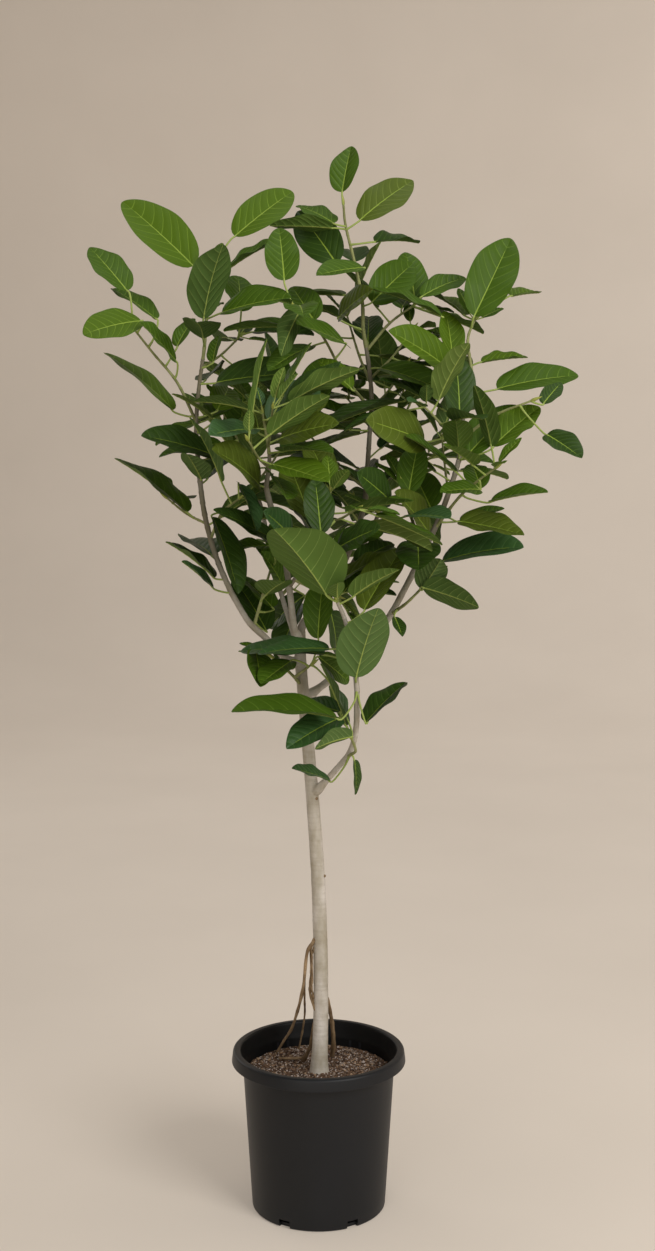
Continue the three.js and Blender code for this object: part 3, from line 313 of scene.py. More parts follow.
# The growth rule's sizes: metres, angles in degrees, and shares of the stem's or leaf's length
growth = {
    "crownMiddle": [0.025, 0.010, 1.330],
    "crownReach": [0.350, 0.290, 0.430],  # seeded growth stays inside this
    "goldenAngle": 137.5,
    "gap": 0.0025,  # clear space round a leaf, and round its stalk
    "stalkGap": 0.003,
    "stalk": [0.028, 0.050],
    "stalkBack": 0.45,  # how far back down its stem a placed leaf's stalk starts, as a share of its reach
    "leafSize": 0.132,  # at a stem's foot
    "tipLoss": 0.022,  # how much smaller leaves are at its tip
    "spread": [0.85, 1.1],
    "tilt": 72,  # between a stalk and its stem, at the stem's foot and its tip
    "tipTilt": 38,
    "tiltSpread": 8,
    "roll": 30,
    "droop": 0.35,
    "outward": 0.5,  # how much a blade turns away from its stem
    "tries": 6,
    "nudge": 24,
    "stemBare": 0.12,  # share of a stem, and of a twig, below its first leaf
    "twigBare": 0.3,
    "twigLeaves": 3,
    "twigTurn": 70,  # how far the leaves of each next stem of a mass are turned
    "twigRadii": [0.0028, 0.0017],
    "twigRoom": 0.0022,  # radius of a twig, and of a seeded one, when leaves seek room
    "sprigBitRoom": 0.002,
    "blockSteps": {"limb": 12, "twig": 6, "sprig": 3},  # straight bits that stand for a path then
    "sprigPlaces": [0.25, 0.85],  # the part of the main stem that carries seeded twigs
    "sprigForward": 0.6,
    "sprigReach": [0.070, 0.125],
    "sprigKnee": 0.04,  # rise of a seeded twig half way along, and at its tip
    "sprigRise": 0.2,
    "sprigRadii": [0.0024, 0.0016],
    "sprigRoom": 0.004,
    "sprigTries": 5,
    "sprigTurn": 40,
    "arch": math.radians(12),  # a leaf's bend from foot to tip
    "fold": math.radians(14),  # lift of each half beside the midrib
    "broad": 0.56,  # width as a share of the length
    "seat": 0.0003,
}
# Small turns of heading and rise that free a leaf from its neighbours
freeTurns = [(0, 0), (8, 0), (-8, 0), (0, 8), (0, -8), (16, 0), (-16, 0),
             (0, 16), (0, -16), (16, 12), (-16, 12), (16, -12), (-16, -12)]


# Plain vectors as lists, so that the growth comes out exactly as it does in the solids
def add(a, b):
    return [a[0] + b[0], a[1] + b[1], a[2] + b[2]]


def sub(a, b):
    return [a[0] - b[0], a[1] - b[1], a[2] - b[2]]


def mul(a, k):
    return [a[0] * k, a[1] * k, a[2] * k]


def dot(a, b):
    return a[0] * b[0] + a[1] * b[1] + a[2] * b[2]


def cross(a, b):
    return [a[1] * b[2] - a[2] * b[1], a[2] * b[0] - a[0] * b[2], a[0] * b[1] - a[1] * b[0]]


def length(a):
    return math.sqrt(dot(a, a))


def unit(a):
    return mul(a, 1 / length(a))


def lerp(pair, t):
    return pair[0] + (pair[1] - pair[0]) * t


def clamp(value, low, high):
    return min(max(value, low), high)


def toward(heading, rise):
    h, r = math.radians(heading), math.radians(rise)
    return [math.cos(h) * math.cos(r), math.sin(h) * math.cos(r), math.sin(r)]


def across(axis, angle):  # a direction square to the axis
    first = unit(cross(axis, [0, 0, 1] if abs(axis[2]) < 0.95 else [1, 0, 0]))
    second = cross(axis, first)
    a = math.radians(angle)
    return add(mul(first, math.cos(a)), mul(second, math.sin(a)))


def turned(v, fromWay, toWay):  # v carried along by the smallest turn between two directions
    axis, c = cross(fromWay, toWay), dot(fromWay, toWay)
    return add(add(mul(v, c), cross(axis, v)), mul(axis, dot(axis, v) / (1 + c)))


def dice(seed):
    state = [seed * 7919 + 17]

    def draw(low, high):
        state[0] = (state[0] * 1664525 + 1013904223) % 2**32
        return low + (high - low) * state[0] / 2**32
    return draw


def pathPoint(points, t):  # a smooth curve through the points, at a share t of its way
    last = len(points) - 1
    s = clamp(t, 0, 1) * last
    i = min(int(s), last - 1)
    f = s - i
    p1, p2 = points[i], points[i + 1]
    p0 = points[i - 1] if i > 0 else sub(mul(p1, 2), p2)
    p3 = points[i + 2] if i + 2 <= last else sub(mul(p2, 2), p1)
    out = []
    for k in range(3):
        a = 2 * p1[k]
        b = p2[k] - p0[k]
        c = 2 * p0[k] - 5 * p1[k] + 4 * p2[k] - p3[k]
        d = 3 * p1[k] - p0[k] - 3 * p2[k] + p3[k]
        out.append(0.5 * (a + b * f + c * f * f + d * f * f * f))
    return out


def pathWay(points, t):
    step = 0.01
    return unit(sub(pathPoint(points, min(t + step, 1)), pathPoint(points, max(t - step, 0))))


def shareAtHeight(points, z):
    low, high = 0, 1
    rising = points[-1][2] > points[0][2]
    for _ in range(40):
        middle = (low + high) / 2
        if (pathPoint(points, middle)[2] < z) == rising:
            low = middle
        else:
            high = middle
    return (low + high) / 2


def bits(points, count):
    stops = [pathPoint(points, i / count) for i in range(count + 1)]
    return list(zip(stops, stops[1:]))


def seat(host, part, first):  # where a limb starts, on its host's tip or flank
    if "height" not in part:
        return add(host["points"][-1], mul(pathWay(host["points"], 1), growth["seat"]))
    t = shareAtHeight(host["points"], part["height"])
    centre = pathPoint(host["points"], t)
    way = unit(sub(first, centre))
    lean = abs(dot(way, pathWay(host["points"], t)))
    out = (lerp(host["radii"], t) + growth["seat"] + part["radii"][0] * lean) / math.sqrt(1 - lean * lean)
    return add(centre, mul(way, out))


def growLimb(host, part, points):
    return {"points": [seat(host, part, points[0])] + points, "radii": part["radii"]}


def growCourses():
    courses = {}
    for name, limb in {**limbs, **aerialRoots}.items():
        if "on" in limb:
            courses[name] = growLimb(courses[limb["on"]], limb, limb["points"])
        else:
            courses[name] = {"points": limb["points"], "radii": limb["radii"]}
    for name, mass in masses.items():
        courses[name] = growLimb(courses[mass["on"]], mass, mass["stem"])
    return courses


def growStems(mass, main):
    stems = [main]
    for twig in mass.get("twigs", []):
        t = shareAtHeight(main["points"], twig["height"])
        root = pathPoint(main["points"], t)
        thickest, tip = growth["twigRadii"]
        radii = [min(thickest, lerp(main["radii"], t)), tip]
        stems.append({"points": [root] + twig["points"], "radii": radii})
    return stems


def bladeHalf(blade, u):
    return 0.5 * blade["width"] * math.sin(math.pi * u**0.86) ** 0.62 if 0 < u < 1 else 0


def bladePoint(blade, u, v):  # u from foot to tip, v from -1 to 1 across
    arch, fold = growth["arch"], growth["fold"]
    turn = arch * u
    along = blade["size"] * math.sin(turn) / arch
    drop = blade["size"] * (1 - math.cos(turn)) / arch
    half = bladeHalf(blade, u)
    lift = half * abs(v) * math.sin(fold)
    spine = add(blade["foot"], mul(blade["way"], along + lift * math.sin(turn)))
    beside = add(spine, mul(blade["side"], half * v * math.cos(fold)))
    return add(beside, mul(blade["face"], lift * math.cos(turn) - drop))


def makeBlade(root, foot, way, roll, size, broad):
    level = unit(sub([0, 0, 1], mul(way, way[2])))
    r = math.radians(roll)
    face = add(mul(level, math.cos(r)), mul(cross(way, level), math.sin(r)))
    blade = {"root": root, "foot": foot, "way": way, "face": face, "side": cross(way, face),
             "size": size, "width": size * broad}
    rows = [[bladePoint(blade, u, v) for v in (-1, -0.5, 0, 0.5, 1)] for u in (0.06, 0.25, 0.5, 0.75, 0.95)]
    lines = rows + [list(column) for column in zip(*rows)]
    blade["net"] = [pair for line in lines for pair in zip(line, line[1:])]
    blade["middle"] = bladePoint(blade, 0.5, 0)
    return blade


def overBlade(blade, p):
    q = sub(p, blade["foot"])
    u = dot(q, blade["way"]) / blade["size"]
    y = dot(q, blade["side"])
    sag = blade["size"] * growth["arch"] * u * u / 2
    return u, y, dot(q, blade["face"]) + sag - abs(y) * math.tan(growth["fold"])


def cuts(blade, a, b, room):  # whether the line from a to b comes within room of the blade
    ua, ya, za = overBlade(blade, a)
    ub, yb, zb = overBlade(blade, b)
    for u, y, z in ((ua, ya, za), (ub, yb, zb)):
        if abs(z) < room and 0 < u < 1 and abs(y) < bladeHalf(blade, u) + room:
            return True
    if za * zb >= 0:
        return False
    k = za / (za - zb)
    u, y = ua + (ub - ua) * k, ya + (yb - ya) * k
    margin = room / blade["size"]
    return -margin < u < 1 + margin and abs(y) < bladeHalf(blade, clamp(u, 0.02, 0.98)) + room


def near(p, q, reach):
    return all(abs(p[k] - q[k]) < reach for k in range(3))


def clashes(blade, blades, bars):
    gap, stalkGap = growth["gap"], growth["stalkGap"]
    for other in blades:
        if near(blade["middle"], other["middle"], (blade["size"] + other["size"]) * 0.6) and (
                any(cuts(other, a, b, gap) for a, b in blade["net"])
                or any(cuts(blade, a, b, gap) for a, b in other["net"])
                or cuts(other, blade["root"], blade["foot"], stalkGap)
                or cuts(blade, other["root"], other["foot"], stalkGap)):
            return True
    reach = blade["size"] * 0.75 + 0.03
    return any(near(blade["middle"], a, reach) and cuts(blade, a, b, radius + gap) for a, b, radius in bars)


def closestStem(stems, p):
    best = (math.inf, None, 0)
    for stem in stems:
        for i in range(41):
            distance = length(sub(pathPoint(stem["points"], i / 40), p))
            if distance < best[0]:
                best = (distance, stem, i / 40)
    return best


def placeLeaf(stems, row, blades, bars):
    x, y, z, heading, rise, roll, size = row[:7]
    broad = row[7] if len(row) > 7 else growth["broad"]
    foot = [x, y, z]
    distance, stem, t = closestStem(stems, foot)
    span = length(sub(stem["points"][-1], stem["points"][0]))
    root = pathPoint(stem["points"], max(t - growth["stalkBack"] * distance / span, 0))
    for moreHeading, moreRise in freeTurns:
        blade = makeBlade(root, foot, toward(heading + moreHeading, rise + moreRise), roll, size, broad)
        if not clashes(blade, blades, bars):
            return blade
    return None


def crownShare(p):  # 0 in the crown's middle, 1 where it ends
    return length([(p[k] - growth["crownMiddle"][k]) / growth["crownReach"][k] for k in range(3)])


def inCrown(p):
    return crownShare(p) < 1


def sproutLeaf(stem, t, angle, draw, size, blades, bars):
    axis, root = pathWay(stem["points"], t), pathPoint(stem["points"], t)
    loose = growth["tiltSpread"]
    for k in range(growth["tries"]):
        tilt = math.radians(growth["tilt"] + (growth["tipTilt"] - growth["tilt"]) * t + draw(-loose, loose))
        radial = across(axis, angle + growth["nudge"] * k * (1 if k % 2 else -1))
        stalkWay = unit(add(mul(axis, math.cos(tilt)), mul(radial, math.sin(tilt))))
        foot = add(root, mul(stalkWay, draw(*growth["stalk"])))
        hang = [0, 0, draw(-growth["droop"], growth["droop"])]
        way = unit(add(add(stalkWay, mul(radial, growth["outward"])), hang))
        roll = draw(-growth["roll"], growth["roll"])
        blade = makeBlade(root, foot, way, roll, size * draw(*growth["spread"]), growth["broad"])
        if inCrown(bladePoint(blade, 1, 0)) and not clashes(blade, blades, bars):
            return blade
    return None


def sproutSprig(main, t, angle, draw, blades):
    axis, root = pathWay(main["points"], t), pathPoint(main["points"], t)
    for turn in range(growth["sprigTries"]):
        way = unit(add(mul(axis, growth["sprigForward"]), across(axis, angle + growth["sprigTurn"] * turn)))
        reach = draw(*growth["sprigReach"])
        knee = add(add(root, mul(way, reach * 0.5)), [0, 0, reach * growth["sprigKnee"]])
        tip = add(add(root, mul(way, reach)), [0, 0, reach * growth["sprigRise"]])
        points = [root, knee, tip]
        room = growth["sprigRoom"]
        free = not any(cuts(blade, a, b, room) for a, b in bits(points, 4) for blade in blades)
        if inCrown(tip) and free:
            return {"points": points, "radii": growth["sprigRadii"]}
    return None


def growSeeded(mass, plan, blades, bars):
    draw = dice(mass["seed"])
    main = plan["stems"][0]
    spin = draw(0, 360)
    first, last = growth["sprigPlaces"]
    steps = growth["blockSteps"]["sprig"]
    for k in range(mass["sprigs"]):
        t = first + (last - first) * (k + draw(0.2, 0.8)) / mass["sprigs"]
        sprig = sproutSprig(main, t, spin + growth["goldenAngle"] * k, draw, blades)
        if sprig:
            plan["stems"].append(sprig)
            bars.extend((a, b, growth["sprigBitRoom"]) for a, b in bits(sprig["points"], steps))
    for index, stem in enumerate(plan["stems"]):
        count = growth["twigLeaves"] if index else mass["leaves"]
        bare = growth["twigBare"] if index else growth["stemBare"]
        for k in range(count):
            t = bare + (1 - bare) * (k + 0.5) / count
            angle = spin + growth["goldenAngle"] * k + growth["twigTurn"] * index
            size = growth["leafSize"] - growth["tipLoss"] * t
            blade = sproutLeaf(stem, t, angle, draw, size, blades, bars)
            if blade:
                plan["blades"].append(blade)
                blades.append(blade)


def limbBars(courses):  # straight bits that stand for the limbs when leaves seek room
    steps = growth["blockSteps"]["limb"]
    return [(a, b, lerp(course["radii"], 0.5))
            for course in courses.values() for a, b in bits(course["points"], steps)]


def growCrown(courses):
    bars = limbBars(courses)
    steps = growth["blockSteps"]["twig"]
    plans = {}
    for name, mass in masses.items():
        plans[name] = {"stems": growStems(mass, courses[name]), "blades": []}
        for twig in plans[name]["stems"][1:]:
            bars += [(a, b, growth["twigRoom"]) for a, b in bits(twig["points"], steps)]
    blades = []
    for name, mass in masses.items():
        for row in mass.get("shown", []):
            blade = placeLeaf(plans[name]["stems"], row, blades, bars)
            if blade:
                plans[name]["blades"].append(blade)
                blades.append(blade)
    for name, mass in masses.items():
        growSeeded(mass, plans[name], blades, bars)
    return plans


# Colours as the eye reads them, made linear
def tint(red, green, blue):
    def linear(c):
        c /= 255
        return c / 12.92 if c < 0.04045 else ((c + 0.055) / 1.055) ** 2.4
    return (linear(red), linear(green), linear(blue), 1)


def makeGroup(name, inputs, outputs):
    tree = bpy.data.node_groups.new(name, "ShaderNodeTree")
    for label, value in inputs.items():
        socket = tree.interface.new_socket(label, in_out="INPUT", socket_type="NodeSocketFloat")
        socket.default_value = value
    for label in outputs:
        tree.interface.new_socket(label, in_out="OUTPUT", socket_type="NodeSocketFloat")
    return tree, tree.nodes.new("NodeGroupInput"), tree.nodes.new("NodeGroupOutput")


def link(tree, source, target):
    tree.links.new(source, target)


def feed(tree, socket, value):  # a plain value is set on the socket, and another socket is linked to it
    if isinstance(value, (int, float, tuple)):
        socket.default_value = value
    else:
        link(tree, value, socket)


def mathNode(tree, operation, first, second):
    node = tree.nodes.new("ShaderNodeMath")
    node.operation = operation
    feed(tree, node.inputs[0], first)
    feed(tree, node.inputs[1], second)
    return node.outputs[0]


def mixColour(tree, share, first, second):
    node = tree.nodes.new("ShaderNodeMix")
    node.data_type = "RGBA"
    for index, value in ((0, share), (6, first), (7, second)):
        feed(tree, node.inputs[index], value)
    return node.outputs[2]


def objectPlace(tree):
    return tree.nodes.new("ShaderNodeTexCoord").outputs["Object"]


def splitPlace(tree):  # the place as X, Y and Z
    node = tree.nodes.new("ShaderNodeSeparateXYZ")
    link(tree, objectPlace(tree), node.inputs[0])
    return node.outputs


def noiseNode(tree, scale, detail=3, stretch=None):
    place = objectPlace(tree)
    if stretch:
        mapping = tree.nodes.new("ShaderNodeMapping")
        mapping.inputs["Scale"].default_value = stretch
        link(tree, place, mapping.inputs["Vector"])
        place = mapping.outputs[0]
    node = tree.nodes.new("ShaderNodeTexNoise")
    node.inputs["Detail"].default_value = detail
    feed(tree, node.inputs["Scale"], scale)
    link(tree, place, node.inputs["Vector"])
    return node.outputs[0]


def cellEdges(tree, scale):  # 0 on the lines between cells, rising to the cells' middles
    node = tree.nodes.new("ShaderNodeTexVoronoi")
    node.feature = "DISTANCE_TO_EDGE"
    feed(tree, node.inputs["Scale"], scale)
    link(tree, objectPlace(tree), node.inputs["Vector"])
    return node.outputs[0]


def ramp(tree, value, low, high, start=0, end=1):  # start below low, end above high
    node = tree.nodes.new("ShaderNodeMapRange")
    link(tree, value, node.inputs[0])
    for index, number in enumerate((low, high, start, end), 1):
        node.inputs[index].default_value = number
    return node.outputs[0]


# The leaf's own pattern, shared by its blade, veins and stalk: mottling and fine net veins
def leafPatternGroup():
    scales = {"Mottle Scale": 26.0, "Net Scale": 420.0}
    tree, inside, out = makeGroup("leafPattern", scales, ["Mottle", "Net"])
    mottle = ramp(tree, noiseNode(tree, inside.outputs["Mottle Scale"], 4), 0.35, 0.68)
    net = ramp(tree, cellEdges(tree, inside.outputs["Net Scale"]), 0.0, 0.16)
    link(tree, mottle, out.inputs["Mottle"])
    link(tree, net, out.inputs["Net"])
    return tree


# Bark: mottling, rings round the stem, and pores
def barkPatternGroup():
    tree, inside, out = makeGroup("barkPattern", {"Scale": 30.0}, ["Blotch", "Rings", "Pores"])
    scale = inside.outputs["Scale"]
    fine = mathNode(tree, "MULTIPLY", scale, 11)
    blotch = ramp(tree, noiseNode(tree, scale, 5, (1, 1, 0.45)), 0.36, 0.66)
    rings = ramp(tree, noiseNode(tree, scale, 6, (0.6, 0.6, 6.5)), 0.45, 0.62)
    pores = ramp(tree, noiseNode(tree, fine, 2, (1, 1, 1.8)), 0.62, 0.72)
    link(tree, blotch, out.inputs["Blotch"])
    link(tree, rings, out.inputs["Rings"])
    link(tree, pores, out.inputs["Pores"])
    return tree


# Moulded plastic: broad upright wear and a fine grain
def plasticPatternGroup():
    scales = {"Wear Scale": 7.0, "Grain Scale": 900.0}
    tree, inside, out = makeGroup("plasticPattern", scales, ["Wear", "Grain"])
    wear = ramp(tree, noiseNode(tree, inside.outputs["Wear Scale"], 4, (1, 1, 0.35)), 0.35, 0.75)
    link(tree, wear, out.inputs["Wear"])
    link(tree, noiseNode(tree, inside.outputs["Grain Scale"], 3), out.inputs["Grain"])
    return tree


# Crumbs, chips and grains: mottling, and the grit that roughens them
def crumbPatternGroup():
    tree, inside, out = makeGroup("crumbPattern", {"Scale": 420.0}, ["Mottle", "Grit"])
    scale = inside.outputs["Scale"]
    mottle = ramp(tree, noiseNode(tree, scale, 5), 0.35, 0.65)
    grit = noiseNode(tree, mathNode(tree, "MULTIPLY", scale, 3), 4)
    link(tree, mottle, out.inputs["Mottle"])
    link(tree, grit, out.inputs["Grit"])
    return tree


leafPattern = leafPatternGroup()
barkPattern = barkPatternGroup()
plasticPattern = plasticPatternGroup()
crumbPattern = crumbPatternGroup()


def newMaterial(name, roughness, specular=0.5):
    material = bpy.data.materials.new(name)
    material.use_nodes = True
    shader = material.node_tree.nodes["Principled BSDF"]
    shader.inputs["Roughness"].default_value = roughness
    shader.inputs["Specular IOR Level"].default_value = specular
    return material, material.node_tree, shader


def placeGroup(tree, group, **values):
    node = tree.nodes.new("ShaderNodeGroup")
    node.node_tree = group
    for label, value in values.items():
        node.inputs[label.replace("_", " ")].default_value = value
    return node


def bump(tree, shader, height, strength, distance):
    node = tree.nodes.new("ShaderNodeBump")
    node.inputs["Strength"].default_value = strength
    node.inputs["Distance"].default_value = distance
    link(tree, height, node.inputs["Height"])
    link(tree, node.outputs[0], shader.inputs["Normal"])


# What a user would change about the leaves, in metres and degrees
leafLook = {
    "veins": 7,
    "veinSpan": [0.05, 0.88],  # shares of the length where the first and last pair leave the midrib
    "veinLean": [0.47, 0.02],  # how far the veins run forward to the edge, and how soon from the foot
    "veinBend": 1.2,
    "belly": [0.76, 0.98],  # low: the leaf is widest nearer the foot
    "foot": 0.46,  # low: blunt
    "tip": [0.56, 0.76],
    "footRows": [0.01, 0.04, 0.1, 0.19, 0.31, 0.47, 0.7],  # rows below the first veins, as shares of the way
    "bodyRows": [1 / 3, 2 / 3],  # rows between two veins
    "tipRows": [0.35, 0.7, 0.9, 1],  # rows beyond the last veins, as shares of the way to the tip
    "columns": [0, 0.22, 0.48, 0.74, 0.93, 1],  # shares of the half width, from the midrib to the edge
    "paleMidrib": 0.82,  # the midrib is paler up to this share of the length
    "thick": 0.0007,
    "midrib": [0.0013, 0.0002],  # half width at foot and tip
    "midribShare": 0.9,  # and the most of the half leaf that it takes up
    "vein": [0.0010, 0.0004],  # half width at the midrib and near the edge
    "rib": [0.0016, 0.0005],  # how far the midrib stands out below
    "veinRib": 0.0004,
    "quilt": 0.0009,  # the blade's swelling between its veins
    "quiltRound": 0.6,
    "groove": 0.0004,
    "grooveReach": 0.9,
    "underRelief": 0.8,  # share of that relief on the underside
    "arch": [8, 20],
    "fold": [10, 24],
    "foldLift": [1.22, 0.34],  # lift of the halves by the midrib, and how much flatter they end
    "twist": 14,
    "twistFoot": 0.2,
    "sickle": 0.03,
    "wave": [0.0010, 0.0038],
    "waves": [1.2, 2.6],
    "fullSize": 0.12,  # leaves from this size up are fully waved
    "seed": 500,  # added to a mass's own
}

leafTints = {  # top, its side veins, underside and its side veins, and the top's sheen
    "deep": [tint(46, 69, 20), tint(66, 91, 34), tint(72, 95, 43), tint(98, 118, 60), 0.18],
    "mid": [tint(63, 89, 19), tint(87, 113, 37), tint(79, 103, 43), tint(105, 127, 62), 0.12],
    "fresh": [tint(73, 98, 18), tint(99, 124, 38), tint(85, 109, 43), tint(111, 133, 62), 0.10],
    "olive": [tint(76, 91, 26), tint(98, 113, 46), tint(87, 105, 46), tint(113, 129, 66), 0.12],
    # cool's blue cast is partly a painted reflection of the lights, besides its higher sheen
    "cool": [tint(50, 81, 37), tint(70, 101, 53), tint(76, 99, 50), tint(101, 121, 68), 0.34],
}
# Inner and low leaves are dealt more deep and cool tints: partly the darker colour of old leaves, partly
# painted shade inside the crown
tintAndShadeShares = [  # how a spray's leaves are dealt out: inner and low, middle, outer and high
    {"cool": 0.26, "deep": 0.38, "olive": 0.08, "mid": 0.28},
    {"cool": 0.20, "deep": 0.20, "olive": 0.10, "mid": 0.40, "fresh": 0.10},
    {"deep": 0.12, "olive": 0.08, "mid": 0.48, "fresh": 0.32},
]
tintAndShadeRule = {
    "crownFoot": 0.80,
    "byReach": 0.55,  # how much the way out from the crown's middle counts, and the height
    "byHeight": 0.6,
    "loose": 0.12,
    "zones": [0.52, 0.80],  # where the middle and the outer zone begin
    "patch": 9,  # scale of the patches that share a tint
    "patchWeight": 0.85,
    "patchLoose": 0.22,
}


def rippledMaterial(name, colour, roughness, spread, net, strength, specular):
    material, tree, shader = newMaterial(name, roughness, specular)
    shader.inputs["Base Color"].default_value = colour
    pattern = placeGroup(tree, leafPattern, Net_Scale=net)
    rough = ramp(tree, pattern.outputs["Mottle"], 0, 1, roughness - spread, roughness + spread)
    link(tree, rough, shader.inputs["Roughness"])
    bump(tree, shader, pattern.outputs["Net"], strength, 0.0002)
    return material


leafMaterials = []
leafSlots = {}
for tintName, (*shades, sheen) in leafTints.items():
    for part, shade in zip(("top", "vein", "under", "under_vein"), shades):
        leafSlots[tintName, part] = len(leafMaterials)
        rough, specular = (0.7, 0.12) if part.startswith("under") else (0.46, sheen)
        label = "leaf_%s_%s" % (part, tintName)
        leafMaterials.append(rippledMaterial(
            label, shade, rough, spread=0.06, net=520, strength=0.3, specular=specular))
midribSlots = {"midrib": len(leafMaterials), "rib": len(leafMaterials) + 1}
ribTints = [("leaf_midrib", tint(130, 152, 54), 0.5), ("leaf_rib_under", tint(140, 154, 76), 0.6)]
for label, shade, rough in ribTints:
    leafMaterials.append(rippledMaterial(
        label, shade, rough, spread=0.05, net=700, strength=0.15, specular=0.2))
stalkMaterial = rippledMaterial(
    "leaf_stalk", tint(146, 162, 84), 0.5, spread=0.06, net=300, strength=0.2, specular=0.25)
budMaterial = rippledMaterial(
    "bud_sheath", tint(144, 150, 70), 0.45, spread=0.05, net=300, strength=0.2, specular=0.3)


# How strongly each part of the bark's pattern shows, and how much the upper tone, a painted shade, takes
# over
barkFinish = {"rings": 0.16, "pores": 0.7, "upper": 0.75, "bump": 0.35, "relief": 0.0006, "specular": 0.3}


# Bark is paler low down and painted darker and greener in the crown, a painted shade of the leaves above:
# upper is that shaded tone, and the span of heights gives where it changes
def barkMaterial(name, pale, dark, ringTint, scale, roughness, upper=None, span=None):
    look = barkFinish
    material, tree, shader = newMaterial(name, roughness, look["specular"])
    pattern = placeGroup(tree, barkPattern, Scale=scale).outputs
    colour = mixColour(tree, pattern["Blotch"], dark, pale)
    colour = mixColour(tree, mathNode(tree, "MULTIPLY", pattern["Rings"], look["rings"]), colour, ringTint)
    colour = mixColour(tree, mathNode(tree, "MULTIPLY", pattern["Pores"], look["pores"]), colour, dark)
    # painted shade: between the span's heights the colour turns to the darker upper tone
    if upper:
        share = ramp(tree, splitPlace(tree)["Z"], *span)
        colour = mixColour(tree, share, colour, mixColour(tree, look["upper"], colour, upper))
    link(tree, colour, shader.inputs["Base Color"])
    height = mathNode(tree, "SUBTRACT", pattern["Rings"], pattern["Pores"])
    bump(tree, shader, height, look["bump"], look["relief"])
    return material


# bark_pale's upper tint is a painted shade of the crown, from 0.86 m to 1.2 m up
barkPale = barkMaterial("bark_pale", tint(202, 196, 188), tint(158, 150, 132), tint(134, 124, 104),
                        scale=34, roughness=0.75, upper=tint(90, 84, 58), span=(0.86, 1.2))
barkGreen = barkMaterial("bark_green", tint(150, 154, 100), tint(112, 116, 68), tint(96, 96, 60),
                         scale=60, roughness=0.6)
rootBark = barkMaterial("root_bark", tint(162, 138, 106), tint(104, 84, 60), tint(84, 67, 46),
                        scale=60, roughness=0.8)


def meshObject(name, points, faces, slots, materials, sharp=None, smooth=True):
    mesh = bpy.data.meshes.new(name)
    mesh.from_pydata(np.asarray(points).tolist(), [], [list(face) for face in faces])
    for material in materials:
        mesh.materials.append(material)
    mesh.polygons.foreach_set("material_index", np.asarray(slots, dtype=np.int32))
    mesh.polygons.foreach_set("use_smooth", np.full(len(faces), smooth))
    if sharp is not None:
        edges = np.empty(len(mesh.edges) * 2, dtype=np.int32)
        mesh.edges.foreach_get("vertices", edges)
        edges = edges.reshape(-1, 2)
        mark = mesh.attributes.new("sharp_edge", "BOOLEAN", "EDGE")
        mark.data.foreach_set("value", sharp[edges[:, 0]] & sharp[edges[:, 1]])
    mesh.update()
    piece = bpy.data.objects.new(name, mesh)
    bpy.context.scene.collection.objects.link(piece)
    return piece


# Points, faces and slots of a piece that is put together from many small things
class Heap:
    def __init__(self):
        self.points, self.faces, self.slots, self.sharp, self.count = [], [], [], [], 0

    def put(self, points, faces, slots, sharp=None):
        points = np.asarray(points, dtype=float)
        self.points.append(points)
        self.faces += [tuple(self.count + i for i in face) for face in faces]
        self.slots += list(slots)
        self.sharp.append(np.zeros(len(points), bool) if sharp is None else sharp)
        self.count += len(points)

    def putTube(self, rings, slots):  # one slot for the whole tube, or a list with one for each side face
        count, sides = rings.shape[:2]
        if isinstance(slots, int):
            slots = [slots] * (count - 1) * sides
        self.put(rings.reshape(-1, 3), tubeFaces(count, sides), slots + [slots[0], slots[-1]])

    def make(self, name, materials, smooth=True):
        return meshObject(name, np.concatenate(self.points), self.faces, self.slots, materials,
                          np.concatenate(self.sharp), smooth)


# Rings of a round limb along a smooth path; before and after reach on from its ends into what it meets
def tubeRings(points, steps, radiusAt, sides, before=0, after=0):
    way = pathWay(points, 0)
    side = across(way, 0)
    angles = np.arange(sides) * (2 * math.pi / sides)
    rings = []
    for i in range(steps + 1):
        t = i / steps
        following = pathWay(points, t)
        side = turned(side, way, following)
        way = following
        around = np.outer(np.cos(angles), side) + np.outer(np.sin(angles), cross(way, side))
        ring = np.array(pathPoint(points, t)) + around * radiusAt(t)
        if i == 0 and before:
            rings.append(ring - np.array(way) * before)
        rings.append(ring)
    if after:
        rings.append(rings[-1] + np.array(way) * after)
    return np.array(rings)


def tubeFaces(ringCount, sides):
    faces = []
    for i in range(ringCount - 1):
        for k in range(sides):
            n = (k + 1) % sides
            faces.append((i * sides + k, i * sides + n, (i + 1) * sides + n, (i + 1) * sides + k))
    faces.append(tuple(reversed(range(sides))))
    faces.append(tuple(range((ringCount - 1) * sides, ringCount * sides)))
    return faces


def pathLength(points):
    return sum(length(sub(b, a)) for a, b in bits(points, 24))


